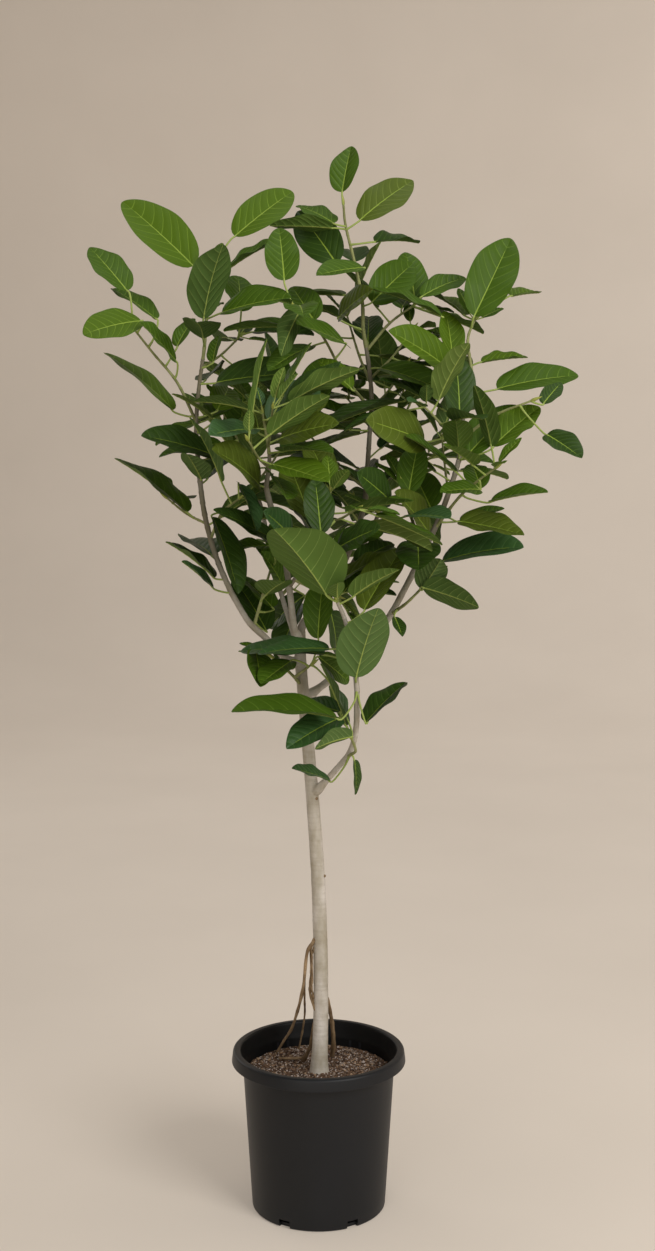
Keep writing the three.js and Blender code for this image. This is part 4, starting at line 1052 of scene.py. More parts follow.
# The leaf's grid: rows that run along the lateral veins, columns that run along the midrib
def leafTemplate():
    count = leafLook["veins"]
    stations = [lerp(leafLook["veinSpan"], k / (count - 1)) for k in range(count)]
    rows = [(0.0, 0.0, 0.0, 0.0)]
    rows += [(stations[0] * f, -f, math.sin(math.pi * f), 0.0) for f in leafLook["footRows"]]
    kinds = [False] * (len(rows) - 1)
    for k, s in enumerate(stations):
        rows += [(s, -1, 0.0, 0.0), (s, 0, 0.0, 1.0), (s, 1, 0.0, 0.0)]
        kinds += [False, True, True]
        if k + 1 < count:
            for f in leafLook["bodyRows"]:
                rows.append((s + (stations[k + 1] - s) * f, 1 - 2 * f, math.sin(math.pi * f), 0.0))
                kinds.append(False)
    for f in leafLook["tipRows"]:
        rows.append((lerp([stations[-1], 1], f), 1 - f, math.sin(math.pi * f), 0.0))
        kinds.append(False)
    rows = np.array(rows)
    half = leafLook["columns"]
    t = np.array([-c for c in half[:0:-1]] + [-0.0] + [0.0] + [0.0] + half[1:])
    side = np.array([-1] * len(half) + [0] + [1] * len(half))
    return {"station": rows[:, 0:1], "strip": rows[:, 1:2], "quilt": rows[:, 2:3], "ridge": rows[:, 3:4],
            "t": np.abs(t)[None, :], "side": side[None, :], "veinRow": np.array(kinds + [False])}


template = leafTemplate()


# Vertex numbers of the top and the underside, one shared rim, and the kind of each face
def leafIndex():
    rows, columns = template["station"].shape[0], template["t"].shape[1]
    top = np.arange(rows * columns).reshape(rows, columns)
    under = top.copy()
    inner = np.arange((rows - 2) * (columns - 2)).reshape(rows - 2, columns - 2) + rows * columns
    under[1:-1, 1:-1] = inner
    faces, kinds = [], []
    middle = columns // 2
    for i in range(rows - 1):
        for j in range(columns - 1):
            inMidrib = j in (middle - 1, middle)
            isPale = template["station"][i, 0] < leafLook["paleMidrib"]
            atEdge = j in (0, columns - 2)
            vein = bool(template["veinRow"][i]) and not atEdge
            faces.append((top[i, j], top[i, j + 1], top[i + 1, j + 1], top[i + 1, j]))
            kinds.append("midrib" if inMidrib and isPale else "vein" if inMidrib or vein else "top")
            faces.append((under[i, j], under[i + 1, j], under[i + 1, j + 1], under[i, j + 1]))
            kinds.append("rib" if inMidrib else "under_vein" if vein else "under")
    rim = np.zeros(rows * columns + inner.size, bool)
    rim[top[0]] = rim[top[-1]] = rim[top[:, 0]] = rim[top[:, -1]] = True
    return faces, kinds, rim


leafFaces, leafKinds, leafRim = leafIndex()


def between(ends, share):  # the same as lerp, for arrays
    return ends[0] + (ends[1] - ends[0]) * share


def leafPoints(blade, draw):
    look, size, width = leafLook, blade["size"], blade["width"]
    belly, tip = draw(*look["belly"]), draw(*look["tip"])
    t, side = template["t"], template["side"]
    s = np.clip(template["station"] + template["strip"] * (between(look["vein"], t) / size), 0, 1)
    lean, start = look["veinLean"]
    u = np.clip(s + lean * t ** look["veinBend"] * s / (s + start) * (1 - s), 0.0006, 0.9992)
    half = 0.5 * width * np.sin(np.pi * u**belly) ** between([look["foot"], tip], u)
    rib = np.minimum(between(look["midrib"], u), half * look["midribShare"])
    y = side * (rib + (half - rib) * t)
    share = np.abs(y) / half
    arch = math.radians(draw(*look["arch"]))
    fold = math.radians(draw(*look["fold"]))
    twist = math.radians(draw(-look["twist"], look["twist"]))
    sickle = draw(-look["sickle"], look["sickle"]) * size
    wave = draw(*look["wave"]) * min(size / look["fullSize"], 1)
    waves = draw(*look["waves"])
    phase = np.where(side < 0, draw(0, 6.28), draw(0, 6.28))
    turn = arch * u
    along = size * np.sin(turn) / arch
    drop = size * (1 - np.cos(turn)) / arch
    lift = np.abs(y) * math.sin(fold) * (look["foldLift"][0] - look["foldLift"][1] * share)
    lift = lift + wave * share**2 * np.sin(2 * np.pi * waves * u + phase) * np.sin(np.pi * u)
    inside = np.sin(np.pi * np.clip(t * 1.03, 0, 1)) ** look["quiltRound"]
    grooved = (1 - template["quilt"]) * (t < look["grooveReach"])
    relief = look["quilt"] * template["quilt"] * inside - look["groove"] * grooved
    body = look["thick"] / 2 * np.sqrt(np.clip(1 - share**2, 0, 1))
    ribDrop = between(look["rib"], u) * (side == 0)
    veinDrop = look["veinRib"] * template["ridge"] * (1 - t) * (side != 0)
    tilt = twist * (u - look["twistFoot"])
    way, face, beside = (np.array(blade[k]) for k in ("way", "face", "side"))

    def place(rise):
        h = lift + rise
        sideways = y * math.cos(fold) * np.cos(tilt) - h * np.sin(tilt) + sickle * u * u
        upward = h * np.cos(tilt) + y * math.cos(fold) * np.sin(tilt)
        return (np.array(blade["foot"]) + (along + upward * np.sin(turn))[..., None] * way
                + sideways[..., None] * beside + (upward * np.cos(turn) - drop)[..., None] * face)

    rimless = np.zeros_like(body)
    rimless[1:-1, 1:-1] = 1
    top = place((body + relief) * rimless)
    under = place((-body + relief * look["underRelief"] - ribDrop - veinDrop) * rimless)
    return np.concatenate([top.reshape(-1, 3), under[1:-1, 1:-1].reshape(-1, 3)])


def pickTint(blade, draw):
    rule = tintAndShadeRule
    # partly painted shade: the further in and lower a leaf lies, the darker the tints it is dealt
    height = blade["middle"][2] - rule["crownFoot"]
    score = rule["byReach"] * crownShare(blade["middle"]) + rule["byHeight"] * height
    score += draw(-rule["loose"], rule["loose"])
    shares = tintAndShadeShares[sum(score >= start for start in rule["zones"])]
    spray = noise.noise(Vector(blade["root"]) * rule["patch"])  # neighbours are mostly dealt one tint
    loose = draw(-rule["patchLoose"], rule["patchLoose"])
    roll = clamp(0.5 + rule["patchWeight"] * spray + loose, 0.001, 0.999)
    for name, share in shares.items():
        roll -= share
        if roll <= 0:
            return name
    return "mid"


def putLeaf(heap, blade, draw):
    shade = pickTint(blade, draw)
    slots = [midribSlots[kind] if kind in midribSlots else leafSlots[shade, kind] for kind in leafKinds]
    heap.put(leafPoints(blade, draw), leafFaces, slots, leafRim)


stalkLook = {
    "radii": [0.0021, 0.0016],
    "thinning": 2.5,  # how fast the stalk comes to its thinner radius
    "swell": [0.0007, 18],  # where it leaves its stem, and how fast that fades
    "young": 0.7,  # radius of a young leaf's stalk, as a share
    "reach": 1.5,  # longest stalk, as a share of the way to the nearest point of a stem
    "slack": 0.010,
    "least": 0.004,
    "bendCost": 1.45,
    "bend": 0.45,  # where it bends, as a share of its reach back from the blade
    "sunk": [0.004, 0.0009],  # how far its end runs into the blade, and below it
    "steps": 10,
    "sides": 8,
}


# A stalk leaves its stem where it can run on into its leaf with the least bend
def stalkRoot(blade, stems):
    look = stalkLook
    best = (math.inf, blade["root"])
    limit = look["reach"] * length(sub(blade["foot"], blade["root"])) + look["slack"]
    for stem in stems:
        for k in range(41):
            place = pathPoint(stem["points"], k / 40)
            straight = sub(blade["foot"], place)
            reach = length(straight)
            cost = reach * (look["bendCost"] - dot(unit(straight), blade["way"]))
            if look["least"] < reach < limit and cost < best[0]:
                best = (cost, place)
    return best[1]


def putStalk(heap, blade, slot, thin):
    look = stalkLook
    straight = sub(blade["foot"], blade["root"])
    reach = length(straight)
    bowed = clamp(0.5 + 0.5 * dot(unit(straight), blade["way"]), 0.25, 1)
    bend = sub(blade["foot"], mul(blade["way"], look["bend"] * reach * bowed))
    first = add(mul(blade["root"], 0.6), mul(bend, 0.4))
    second = add(mul(blade["foot"], 0.6), mul(bend, 0.4))
    inward, below = look["sunk"]
    end = add(add(blade["foot"], mul(blade["way"], inward)), mul(blade["face"], -below))
    wide, narrow = (r * thin for r in look["radii"])
    swell, fade = look["swell"]

    def radiusAt(t):
        return wide + (narrow - wide) * min(t * look["thinning"], 1) + swell * math.exp(-t * fade)
    path = [blade["root"], first, second, end]
    heap.putTube(tubeRings(path, look["steps"], radiusAt, look["sides"]), slot)


budLook = {
    "size": [0.014, 0.022],
    "girth": 0.14,  # radius as a share of the length, at its widest
    "swell": [0.5, 0.95, 1.0, 0.8, 0.5, 0.12],
    "sunk": 0.002,
}


def putBud(heap, foot, way, size, slot):
    swell = budLook["swell"]
    steps = len(swell) - 1
    points = [foot, add(foot, mul(way, size * 0.5)), add(foot, mul(way, size))]
    rings = tubeRings(points, steps, lambda t: budLook["girth"] * size * swell[round(t * steps)], 8)
    heap.putTube(rings, slot)


twigLook = {
    "step": 0.003,
    "sides": 12,
    "sunk": 0.004,  # how far a mass's stem reaches into its host
    "scarSpacing": 0.022,  # rings of old leaf scars
    "scarWidth": 0.0013,
    "scarReach": 0.006,
    "scarRise": 0.16,
    "firstScar": [0.3, 1],  # as shares of the spacing
    "nextScar": [0.6, 1.3],
    "waver": [0.03, 260],
    "woodyRadius": 0.0030,  # thicker stems than this have pale bark, up to a height
    "woodyHeight": 1.5,
}


def scarPlaces(total, draw):
    spacing = twigLook["scarSpacing"]
    places, at = [], draw(*twigLook["firstScar"]) * spacing
    while at < total:
        places.append(at)
        at += spacing * draw(*twigLook["nextScar"])
    return places


def putStem(heap, points, radii, sunk, draw, woody):
    look = twigLook
    total = pathLength(points)
    steps = max(8, int(total / look["step"]))
    scars = scarPlaces(total, draw)
    waver, pace = look["waver"]

    def radiusAt(t):
        at = t * total
        gaps = [at - scar for scar in scars if abs(at - scar) < look["scarReach"]]
        ring = sum(math.exp(-((gap / look["scarWidth"]) ** 2)) for gap in gaps)
        return lerp(radii, t) * (1 + look["scarRise"] * ring + waver * math.sin(at * pace))
    rings = tubeRings(points, steps, radiusAt, look["sides"], sunk)
    slots = []
    for i in range(len(rings) - 1):
        low = rings[i].mean(axis=0)[2] < look["woodyHeight"]
        pale = woody and low and lerp(radii, i / steps) > look["woodyRadius"]
        slots += [0 if pale else 1] * look["sides"]
    heap.putTube(rings, slots)


courses = growCourses()
plans = growCrown(courses)
print("grown:", sum(len(plan["blades"]) for plan in plans.values()), "leaves")


# Bark: trunk and boughs made one body, its forks eased and its relief raised
barkLook = {
    "sides": 32,
    "ringStep": 0.004,
    "footSunk": 0.012,  # how far the trunk reaches into the soil
    "boughSunk": 0.7,  # and a bough into its host, as a share of the host's radius
    "flare": 0.28,
    "flareHeight": 0.018,
    "collar": 0.55,  # how much a bough swells where it leaves its host
    "collarReach": 0.018,
    "voxel": 0.0014,
    "easing": [0.5, 4],  # strength and rounds
    "unevenness": 0.0006,
    "lumps": [[34, 0.7], [120, 0.3]],  # scale and weight of each layer of it
    "ring": 0.00024,
    "ringSpacing": 0.017,
    "ringSharpness": 7,
    "ringWander": [[90, 0.004], [28, 0.006]],
    "ringFade": [60, 0.4, 0.6],  # rings come and go: scale, share that stays and share that goes
    "seed": 11,
}


def limbRings(name, course):
    look, points = barkLook, course["points"]
    isTrunk = name == "trunk"
    collar = look["collar"] if "height" in limbs[name] else 0  # the leader stands on the trunk's tip
    total = pathLength(points)

    def radiusAt(t):
        if isTrunk:
            rise = max(pathPoint(points, t)[2] - soilLevel, 0)
            swell = look["flare"] * math.exp(-rise / look["flareHeight"])
        else:
            swell = collar * math.exp(-((t * total / look["collarReach"]) ** 2))
        return lerp(course["radii"], t) * (1 + swell)
    sunk = look["footSunk"]
    if not isTrunk:
        sunk = look["boughSunk"] * lerp(courses[limbs[name]["on"]]["radii"], 0.5)
    return tubeRings(points, int(total / look["ringStep"]), radiusAt, look["sides"], sunk)


def applyModifiers(piece):
    graph = bpy.context.evaluated_depsgraph_get()
    body = bpy.data.meshes.new_from_object(piece.evaluated_get(graph))
    piece.modifiers.clear()
    piece.data = body


def buildBark():
    heap = Heap()
    samples = []  # the limbs' middles, and how far along its limb each lies
    for name in limbs:
        rings = limbRings(name, courses[name])
        heap.putTube(rings, 0)
        run = 0
        for i, ring in enumerate(rings):
            centre = ring.mean(axis=0)
            run += float(np.linalg.norm(centre - samples[-1][0])) if i else 0
            samples.append((centre, run))
    piece = heap.make("trunk_and_boughs", [barkPale])
    remesh = piece.modifiers.new("one body", "REMESH")
    remesh.mode, remesh.voxel_size, remesh.use_smooth_shade = "VOXEL", barkLook["voxel"], True
    smooth = piece.modifiers.new("eased", "SMOOTH")
    smooth.factor, smooth.iterations = barkLook["easing"]
    applyModifiers(piece)
    raiseRelief(piece.data, samples)
    return piece


def layeredNoise(place, seed, layers):
    return sum(noise.noise(place * scale + seed) * weight for scale, weight in layers)


def vertexVectors(source, count, name):
    values = np.empty(count * 3)
    source.foreach_get(name, values)
    return values.reshape(-1, 3)


def raiseRelief(mesh, samples):
    look = barkLook
    tree = KDTree(len(samples))
    for i, (centre, _) in enumerate(samples):
        tree.insert(Vector(centre), i)
    tree.balance()
    count = len(mesh.vertices)
    places = vertexVectors(mesh.vertices, count, "co")
    normals = vertexVectors(mesh.vertex_normals, count, "vector")
    offsets = np.zeros(count)
    seed = Vector((look["seed"], 0, 0))
    fadeScale, stays, goes = look["ringFade"]
    for i in range(count):
        place = Vector(places[i])
        _, index, _ = tree.find(place)
        phase = (samples[index][1] + layeredNoise(place, seed, look["ringWander"])) / look["ringSpacing"]
        ring = math.exp(-(((phase % 1) - 0.5) * look["ringSharpness"]) ** 2)
        ring *= stays + goes * noise.noise(place * fadeScale - seed)
        offsets[i] = layeredNoise(place, seed, look["lumps"]) * look["unevenness"] + ring * look["ring"]
    places += normals * offsets[:, None]
    mesh.vertices.foreach_set("co", places.ravel())
    mesh.materials.clear()
    mesh.materials.append(barkPale)
    mesh.update()


bark = buildBark()
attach(bark, "root")
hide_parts(*limbs)
print("bark:", len(bark.data.polygons), "faces")


# Roots swell here and there; the tangle is of thin ones that have grown together with the trunk's flank
rootLook = {"step": 0.003, "sides": 12, "knots": 7, "knot": [0.1, 0.35], "knotWidth": 0.03,
            "waver": [0.06, 40], "sunk": 0.8, "intoSoil": 0.01}
tangle = {"roots": 4, "top": [-0.0125, -0.008, 0.484], "foot": [-0.0125, -0.008, 0.372], "radius": 0.0014,
          "wander": 0.0034, "climb": 0.006, "endsInside": 0.006, "stops": 6, "seed": 5}
# Stubs where twigs have dropped from the trunk: heights, which way each faces, and its form
scars = {"heights": [0.592, 0.73], "turns": [-18, -50], "rise": 10, "radius": 0.0036,
         "stops": [-0.004, -0.001, 0.0018], "sides": 9}


def putRoot(heap, points, radii, before, after, draw):
    look = rootLook
    knots = [(draw(0, 1), draw(*look["knot"])) for _ in range(look["knots"])]
    phase, steps = draw(0, 6.28), int(pathLength(points) / look["step"])
    waver, pace = look["waver"]

    def radiusAt(t):
        swell = sum(k * math.exp(-(((t - at) / look["knotWidth"]) ** 2)) for at, k in knots)
        return lerp(radii, t) * (1 + swell * 0.5 + waver * math.sin(t * pace + phase))
    heap.putTube(tubeRings(points, steps, radiusAt, look["sides"], before, after), 0)


def putScar(heap, height, turn):
    trunk = courses["trunk"]
    t = shareAtHeight(trunk["points"], height)
    middle, girth, out = pathPoint(trunk["points"], t), lerp(trunk["radii"], t), toward(turn, scars["rise"])
    stub = [add(middle, mul(out, girth + stop)) for stop in scars["stops"]]
    heap.putTube(tubeRings(stub, 4, lambda t: scars["radius"] * (1 - 0.5 * t * t), scars["sides"]), 0)


def tangledRoot(draw):
    points = []
    stops, wander, climb = tangle["stops"], tangle["wander"], tangle["climb"]
    for k in range(stops + 1):
        middle = [a + (b - a) * k / stops for a, b in zip(tangle["top"], tangle["foot"])]
        inside = tangle["endsInside"] if k in (0, stops) else 0
        sideways = inside + draw(-1, 1) * wander * 0.6
        points.append(add(middle, [sideways, draw(-1, 1) * wander, draw(-climb, climb)]))
    return points


def buildRoots():
    heap = Heap()
    for height, turn in zip(scars["heights"], scars["turns"]):
        putScar(heap, height, turn)
    draw = dice(tangle["seed"])
    intoSoil = rootLook["intoSoil"]
    for name, root in aerialRoots.items():
        course = courses[name]
        sunk = rootLook["sunk"] * lerp(courses[root["on"]]["radii"], 0.5)
        putRoot(heap, course["points"], course["radii"], sunk, intoSoil, draw)
    for root in gripRoots:
        reachesSoil = root["points"][-1][2] < soilLevel + 0.001
        putRoot(heap, root["points"], root["radii"], 0, intoSoil if reachesSoil else 0, draw)
    for _ in range(tangle["roots"]):
        points = tangledRoot(draw)
        putRoot(heap, points, [tangle["radius"] * draw(0.8, 1.2)] * 2, 0, 0, draw)
    return heap.make("aerial_roots", [rootBark])


roots = buildRoots()
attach(roots, "root")
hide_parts("trunk", *aerialRoots)
print("roots:", len(roots.data.polygons), "faces")


# Crown: the leaves of the growth rule, and young ones round the bud at each free tip
youngLook = {
    "leaves": 2,
    "size": [0.038, 0.066],
    "broad": 0.5,
    "tries": 6,
    "turn": 60,
    "loose": 30,
    "stalk": [0.012, 0.020],
    "forward": 0.8,
    "bladeForward": 0.3,
    "roll": 25,
}


def growYoung(tip, way, blades, bars, draw):
    look = youngLook
    grown = []
    for k in range(look["leaves"]):
        size = draw(*look["size"])
        for turn in range(look["tries"]):
            angle = growth["goldenAngle"] * k + look["turn"] * turn + draw(0, look["loose"])
            radial = across(way, angle)
            stalkWay = unit(add(mul(way, look["forward"]), radial))
            foot = add(tip, mul(stalkWay, draw(*look["stalk"])))
            bladeWay = unit(add(stalkWay, mul(way, look["bladeForward"])))
            blade = makeBlade(tip, foot, bladeWay, draw(-look["roll"], look["roll"]), size, look["broad"])
            if inCrown(bladePoint(blade, 1, 0)) and not clashes(blade, blades, bars):
                blades.append(blade)
                grown.append(blade)
                break
    return grown


def buildMass(name, mass, blades, bars):
    plan = plans[name]
    draw = dice(mass["seed"] + leafLook["seed"])
    wood, leafHeap = Heap(), Heap()
    young = []
    carries = any(other["on"] == name for other in masses.values())
    for index, stem in enumerate(plan["stems"]):
        isMain = index == 0
        putStem(wood, stem["points"], stem["radii"], twigLook["sunk"] if isMain else 0, draw, isMain)
        if isMain and carries:
            continue
        tip, way = pathPoint(stem["points"], 1), pathWay(stem["points"], 1)
        putBud(wood, sub(tip, mul(way, budLook["sunk"])), way, draw(*budLook["size"]), 3)
        young += growYoung(tip, way, blades, bars, draw)
    for blade in plan["blades"]:
        blade["root"] = stalkRoot(blade, plan["stems"])
        putLeaf(leafHeap, blade, draw)
        putStalk(wood, blade, 2, 1.0)
    for blade in young:
        putLeaf(leafHeap, blade, draw)
        putStalk(wood, blade, 2, stalkLook["young"])
    short = name.replace("foliage_", "")
    foliage = leafHeap.make("leaves_" + short, leafMaterials)
    twigs = wood.make("twigs_" + short, [barkPale, barkGreen, stalkMaterial, budMaterial])
    for piece in (foliage, twigs):
        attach(piece, "root")
        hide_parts(name)


def buildCrown():
    blades = [blade for plan in plans.values() for blade in plan["blades"]]
    bars = limbBars(courses)
    for name, mass in masses.items():
        buildMass(name, mass, blades, bars)


buildCrown()
print("crown made")


# Pot: a round wall with a rolled lip, a smooth turned body with six drain notches in its bottom corner
potLook = {
    "height": 0.2835,
    "baseRadius": 0.1174,
    "corner": 0.004,  # rounding of the bottom edge
    "shoulderRadius": 0.133,
    "shoulderHeight": 0.258,
    "ledge": 0.0025,  # the small step under the lip: how far it stands out, and its rise
    "ledgeRise": 0.0015,
    "lipRadius": 0.1525,
    "lipTopRadius": 0.1475,
    "lipHeight": 0.021,
    "lipWall": 0.003,
    "lipRound": 0.003,
    "mouthRadius": 0.1366,
    "wall": 0.0026,
    "floor": 0.006,
    "segments": 160,
    "notches": 6,
    "notchWidth": 0.021,
    "notchHeight": 0.014,
    "notchDepth": 0.008,
    "sharpFrom": 38,  # edges that bend by more degrees than this stay sharp
    "shadedInsideFrom": 0.1,  # the inner wall gets a darker copy of the plastic, painted shade, from this height up
    "outside": [tint(14, 16, 19), tint(21, 23, 27), 0.32],  # tints, unworn and worn, and sheen
    # painted shade: the same plastic, darker and with less sheen, for the shaded inner wall
    "inside": [tint(13, 13, 13), tint(18, 18, 18), 0.15],
    "roughness": [0.42, 0.56],
    "grain": [0.10, 0.0004],  # strength and depth
}


# The section's corners, each [radius, height, rounding], with the corners turned into short arcs
def roundedSection(corners):
    out = []
    count = len(corners)
    for i, (r, z, rounding) in enumerate(corners):
        if rounding == 0:
            out.append((r, z))
            continue
        here = np.array([r, z])
        before = np.array(corners[i - 1][:2]) - here
        after = np.array(corners[(i + 1) % count][:2]) - here
        cut = min(rounding, 0.45 * np.linalg.norm(before), 0.45 * np.linalg.norm(after))
        start = here + before / np.linalg.norm(before) * cut
        end = here + after / np.linalg.norm(after) * cut
        for k in range(5):
            f = k / 4
            out.append(tuple((1 - f) ** 2 * start + 2 * f * (1 - f) * here + f * f * end))
    return out


def wallRadius(z):  # the pot's outer radius at a height
    p = potLook
    return p["baseRadius"] + (p["shoulderRadius"] - p["baseRadius"]) / p["shoulderHeight"] * z


def potSection():
    p = potLook
    height, wall, shoulder = p["height"], p["wall"], p["shoulderHeight"]
    lipFoot = height - p["lipHeight"]
    ledgeTop = lipFoot + p["ledgeRise"]
    flank = [[wallRadius(shoulder * k / 12), shoulder * k / 12, 0] for k in range(1, 12)]
    return roundedSection([
        [0, 0, 0], [p["baseRadius"] - 2 * p["corner"], 0, 0], [p["baseRadius"], 0, p["corner"]], *flank,
        [p["shoulderRadius"], shoulder, 0.001],
        [p["shoulderRadius"] + p["ledge"], ledgeTop, 0.001],
        [p["mouthRadius"] + wall, height - 2 * wall, 0.001],
        [p["lipTopRadius"] - 0.0005, height - 2 * wall, 0.001],
        [p["lipRadius"] - p["lipWall"], lipFoot, 0.0005],
        [p["lipRadius"], lipFoot, 0.0014],
        [p["lipTopRadius"] + wall, height - wall, p["lipRound"]],
        [p["lipTopRadius"], height, p["lipRound"]],
        [p["mouthRadius"] + 0.002, height, p["lipRound"]],
        [p["mouthRadius"], height - 0.0025, 0.002],
        [wallRadius(shoulder) - wall + p["ledge"], ledgeTop, 0.003],
        [wallRadius(shoulder - 0.003) - wall, shoulder - 0.003, 0.002],
        [wallRadius(p["floor"]) - wall, p["floor"], 0.003], [0, p["floor"], 0],
    ])


# Points and faces of a turned body; a section point on the axis is one point
def lathe(section, segments):
    points, rows = [], []
    for r, z in section:
        if r < 1e-9:
            rows.append([len(points)] * segments)
            points.append((0, 0, z))
            continue
        rows.append([len(points) + k for k in range(segments)])
        for k in range(segments):
            a = 2 * math.pi * k / segments
            points.append((r * math.cos(a), r * math.sin(a), z))
    faces = []
    for lower, upper in zip(rows, rows[1:]):
        for k in range(segments):
            n = (k + 1) % segments
            face = []
            for i in (lower[k], lower[n], upper[n], upper[k]):
                if i not in face:
                    face.append(i)
            if len(face) > 2:
                faces.append(tuple(face))
    return points, faces


def potMaterial(name, dark, pale, specular):
    material, tree, shader = newMaterial(name, 0.5, specular)
    pattern = placeGroup(tree, plasticPattern).outputs
    link(tree, mixColour(tree, pattern["Wear"], dark, pale), shader.inputs["Base Color"])
    link(tree, ramp(tree, pattern["Wear"], 0, 1, *potLook["roughness"]), shader.inputs["Roughness"])
    bump(tree, shader, pattern["Grain"], *potLook["grain"])
    return material


def notchTool():  # one block for each drain notch
    p = potLook
    cutter = bmesh.new()
    for i in range(p["notches"]):
        box = bmesh.ops.create_cube(cutter, size=1)["verts"]
        bmesh.ops.scale(cutter, vec=(2 * p["notchDepth"], p["notchWidth"], 2 * p["notchHeight"]), verts=box)
        bmesh.ops.translate(cutter, vec=(p["baseRadius"], 0, 0), verts=box)
        turn = math.radians(360 * i / p["notches"])
        bmesh.ops.rotate(cutter, cent=(0, 0, 0), matrix=Matrix.Rotation(turn, 3, "Z"), verts=box)
    mesh = bpy.data.meshes.new("notches")
    cutter.to_mesh(mesh)
    cutter.free()
    tool = bpy.data.objects.new("notches", mesh)
    bpy.context.scene.collection.objects.link(tool)
    return tool


def facesIn(face):  # whether a face of the pot's upper part looks at its axis
    middle, normal = face.center, face.normal
    inward = -(normal.x * middle.x + normal.y * middle.y)
    return middle.z > potLook["shadedInsideFrom"] and inward > 0.5 * middle.to_2d().length


def buildPot():
    points, faces = lathe(potSection(), potLook["segments"])
    pot = meshObject("pot_body", points, faces, [0] * len(faces),
                     [potMaterial("pot_plastic_black", *potLook["outside"]),
                      potMaterial("pot_plastic_inside_shaded", *potLook["inside"])])
    tool = notchTool()
    cut = pot.modifiers.new("notches", "BOOLEAN")
    cut.operation, cut.object, cut.solver = "DIFFERENCE", tool, "EXACT"
    applyModifiers(pot)
    bpy.data.objects.remove(tool)
    body = pot.data
    body.polygons.foreach_set("use_smooth", np.full(len(body.polygons), True))
    body.set_sharp_from_angle(angle=math.radians(potLook["sharpFrom"]))
    # painted shade: faces of the inner wall get the darker copy of the plastic
    for face in body.polygons:
        if facesIn(face):
            face.material_index = 1
    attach(pot, "root")
    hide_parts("pot")


buildPot()


# Soil: an uneven surface of crumbs, with bark chips and white grains lying on it
soilLook = {
    "radius": 0.1305,
    "foot": 0.030,
    "clear": 0.0006,  # room between the soil and the pot's wall
    "sunk": 0.0022,  # how far the surface lies below the chips' tops
    "edgeDrop": 0.003,
    "moundAt": [0.001, -0.012],  # round the trunk
    "mound": [0.0035, 0.03],  # height and reach
    "crumbs": [[55, 3, 0.0022], [190, 5, 0.0012]],  # scale, layer and height of the unevenness
    "rings": 40,
    "segments": 120,
    "shapes": 8,  # forms that the chips and grains are dealt from
    "stretch": [[0.8, 1.6], [0.6, 1.0], [0.35, 0.6]],
    "knobbly": [0.75, 1.2],  # how far in and out their corners lie
    "chips": 3000,
    "chipSize": [0.0018, 0.0060],
    "grains": 1300,
    "grainSize": [0.0014, 0.0036],
    "grainHeight": 1.5,
    "spread": 0.975,  # how far out they lie, as a share of the way to the wall
    "trunkClear": 0.013,
    "tip": 0.5,
    "lift": 0.14,  # how high their middles lie, as a share of their size
    "chipDeal": ["dark", "dark", "brown", "brown", "brown", "tan", "grey"],
    "seed": 7,
    "earthTints": [tint(112, 88, 70), tint(54, 41, 33)],
    "grainTints": [tint(206, 194, 186), tint(158, 144, 134)],
    "chipShade": 0.6,  # a chip's darker tint, as a share of its paler one
    "grit": [0.5, 0.0008],  # strength and depth
}
chipTints = {"dark": tint(76, 58, 47), "brown": tint(116, 90, 70), "tan": tint(172, 144, 116),
             "grey": tint(150, 134, 120)}


def crumbMaterial(name, pale, dark, scale):
    material, tree, shader = newMaterial(name, 0.9, 0.25)
    pattern = placeGroup(tree, crumbPattern, Scale=scale).outputs
    link(tree, mixColour(tree, pattern["Mottle"], dark, pale), shader.inputs["Base Color"])
    bump(tree, shader, pattern["Grit"], *soilLook["grit"])
    return material


def dimmed(colour, k):
    return (colour[0] * k, colour[1] * k, colour[2] * k, 1)


def fromTrunk(x, y):
    return math.hypot(x - soilLook["moundAt"][0], y - soilLook["moundAt"][1])


def soilHeight(x, y):
    look = soilLook
    r = math.hypot(x, y) / look["radius"]
    height, reach = look["mound"]
    mound = height * math.exp(-((fromTrunk(x, y) / reach) ** 2))
    rough = sum(noise.noise(Vector((x * k, y * k, layer))) * rise for k, layer, rise in look["crumbs"])
    return soilLevel - look["sunk"] - look["edgeDrop"] * r * r + mound + rough


def soilRadius(z):
    return wallRadius(z) - potLook["wall"] - soilLook["clear"]


def circle(radius, count):
    angles = [2 * math.pi * k / count for k in range(count)]
    return [(radius * math.cos(a), radius * math.sin(a)) for a in angles]


def buildEarth():
    rings, segments, top = soilLook["rings"], soilLook["segments"], soilRadius(soilLevel)
    points = [(0, 0, soilHeight(0, 0))]
    for i in range(1, rings + 1):
        points += [(x, y, soilHeight(x, y)) for x, y in circle(top * i / rings, segments)]
    base = len(points)
    points += [(x, y, soilLook["foot"]) for x, y in circle(soilRadius(soilLook["foot"]), segments)]
    pairs = [(k, (k + 1) % segments) for k in range(segments)]
    faces = [(0, 1 + k, 1 + n) for k, n in pairs]
    for low in range(1, 1 + (rings - 1) * segments, segments):
        high = low + segments
        faces += [(low + k, high + k, high + n, low + n) for k, n in pairs]
    rim = base - segments
    faces += [(rim + k, base + k, base + n, rim + n) for k, n in pairs]
    faces.append(tuple(reversed(range(base, base + segments))))
    crumbs = crumbMaterial("soil_crumbs", *soilLook["earthTints"], scale=260)
    return meshObject("potting_mix", points, faces, [0] * len(faces), [crumbs])


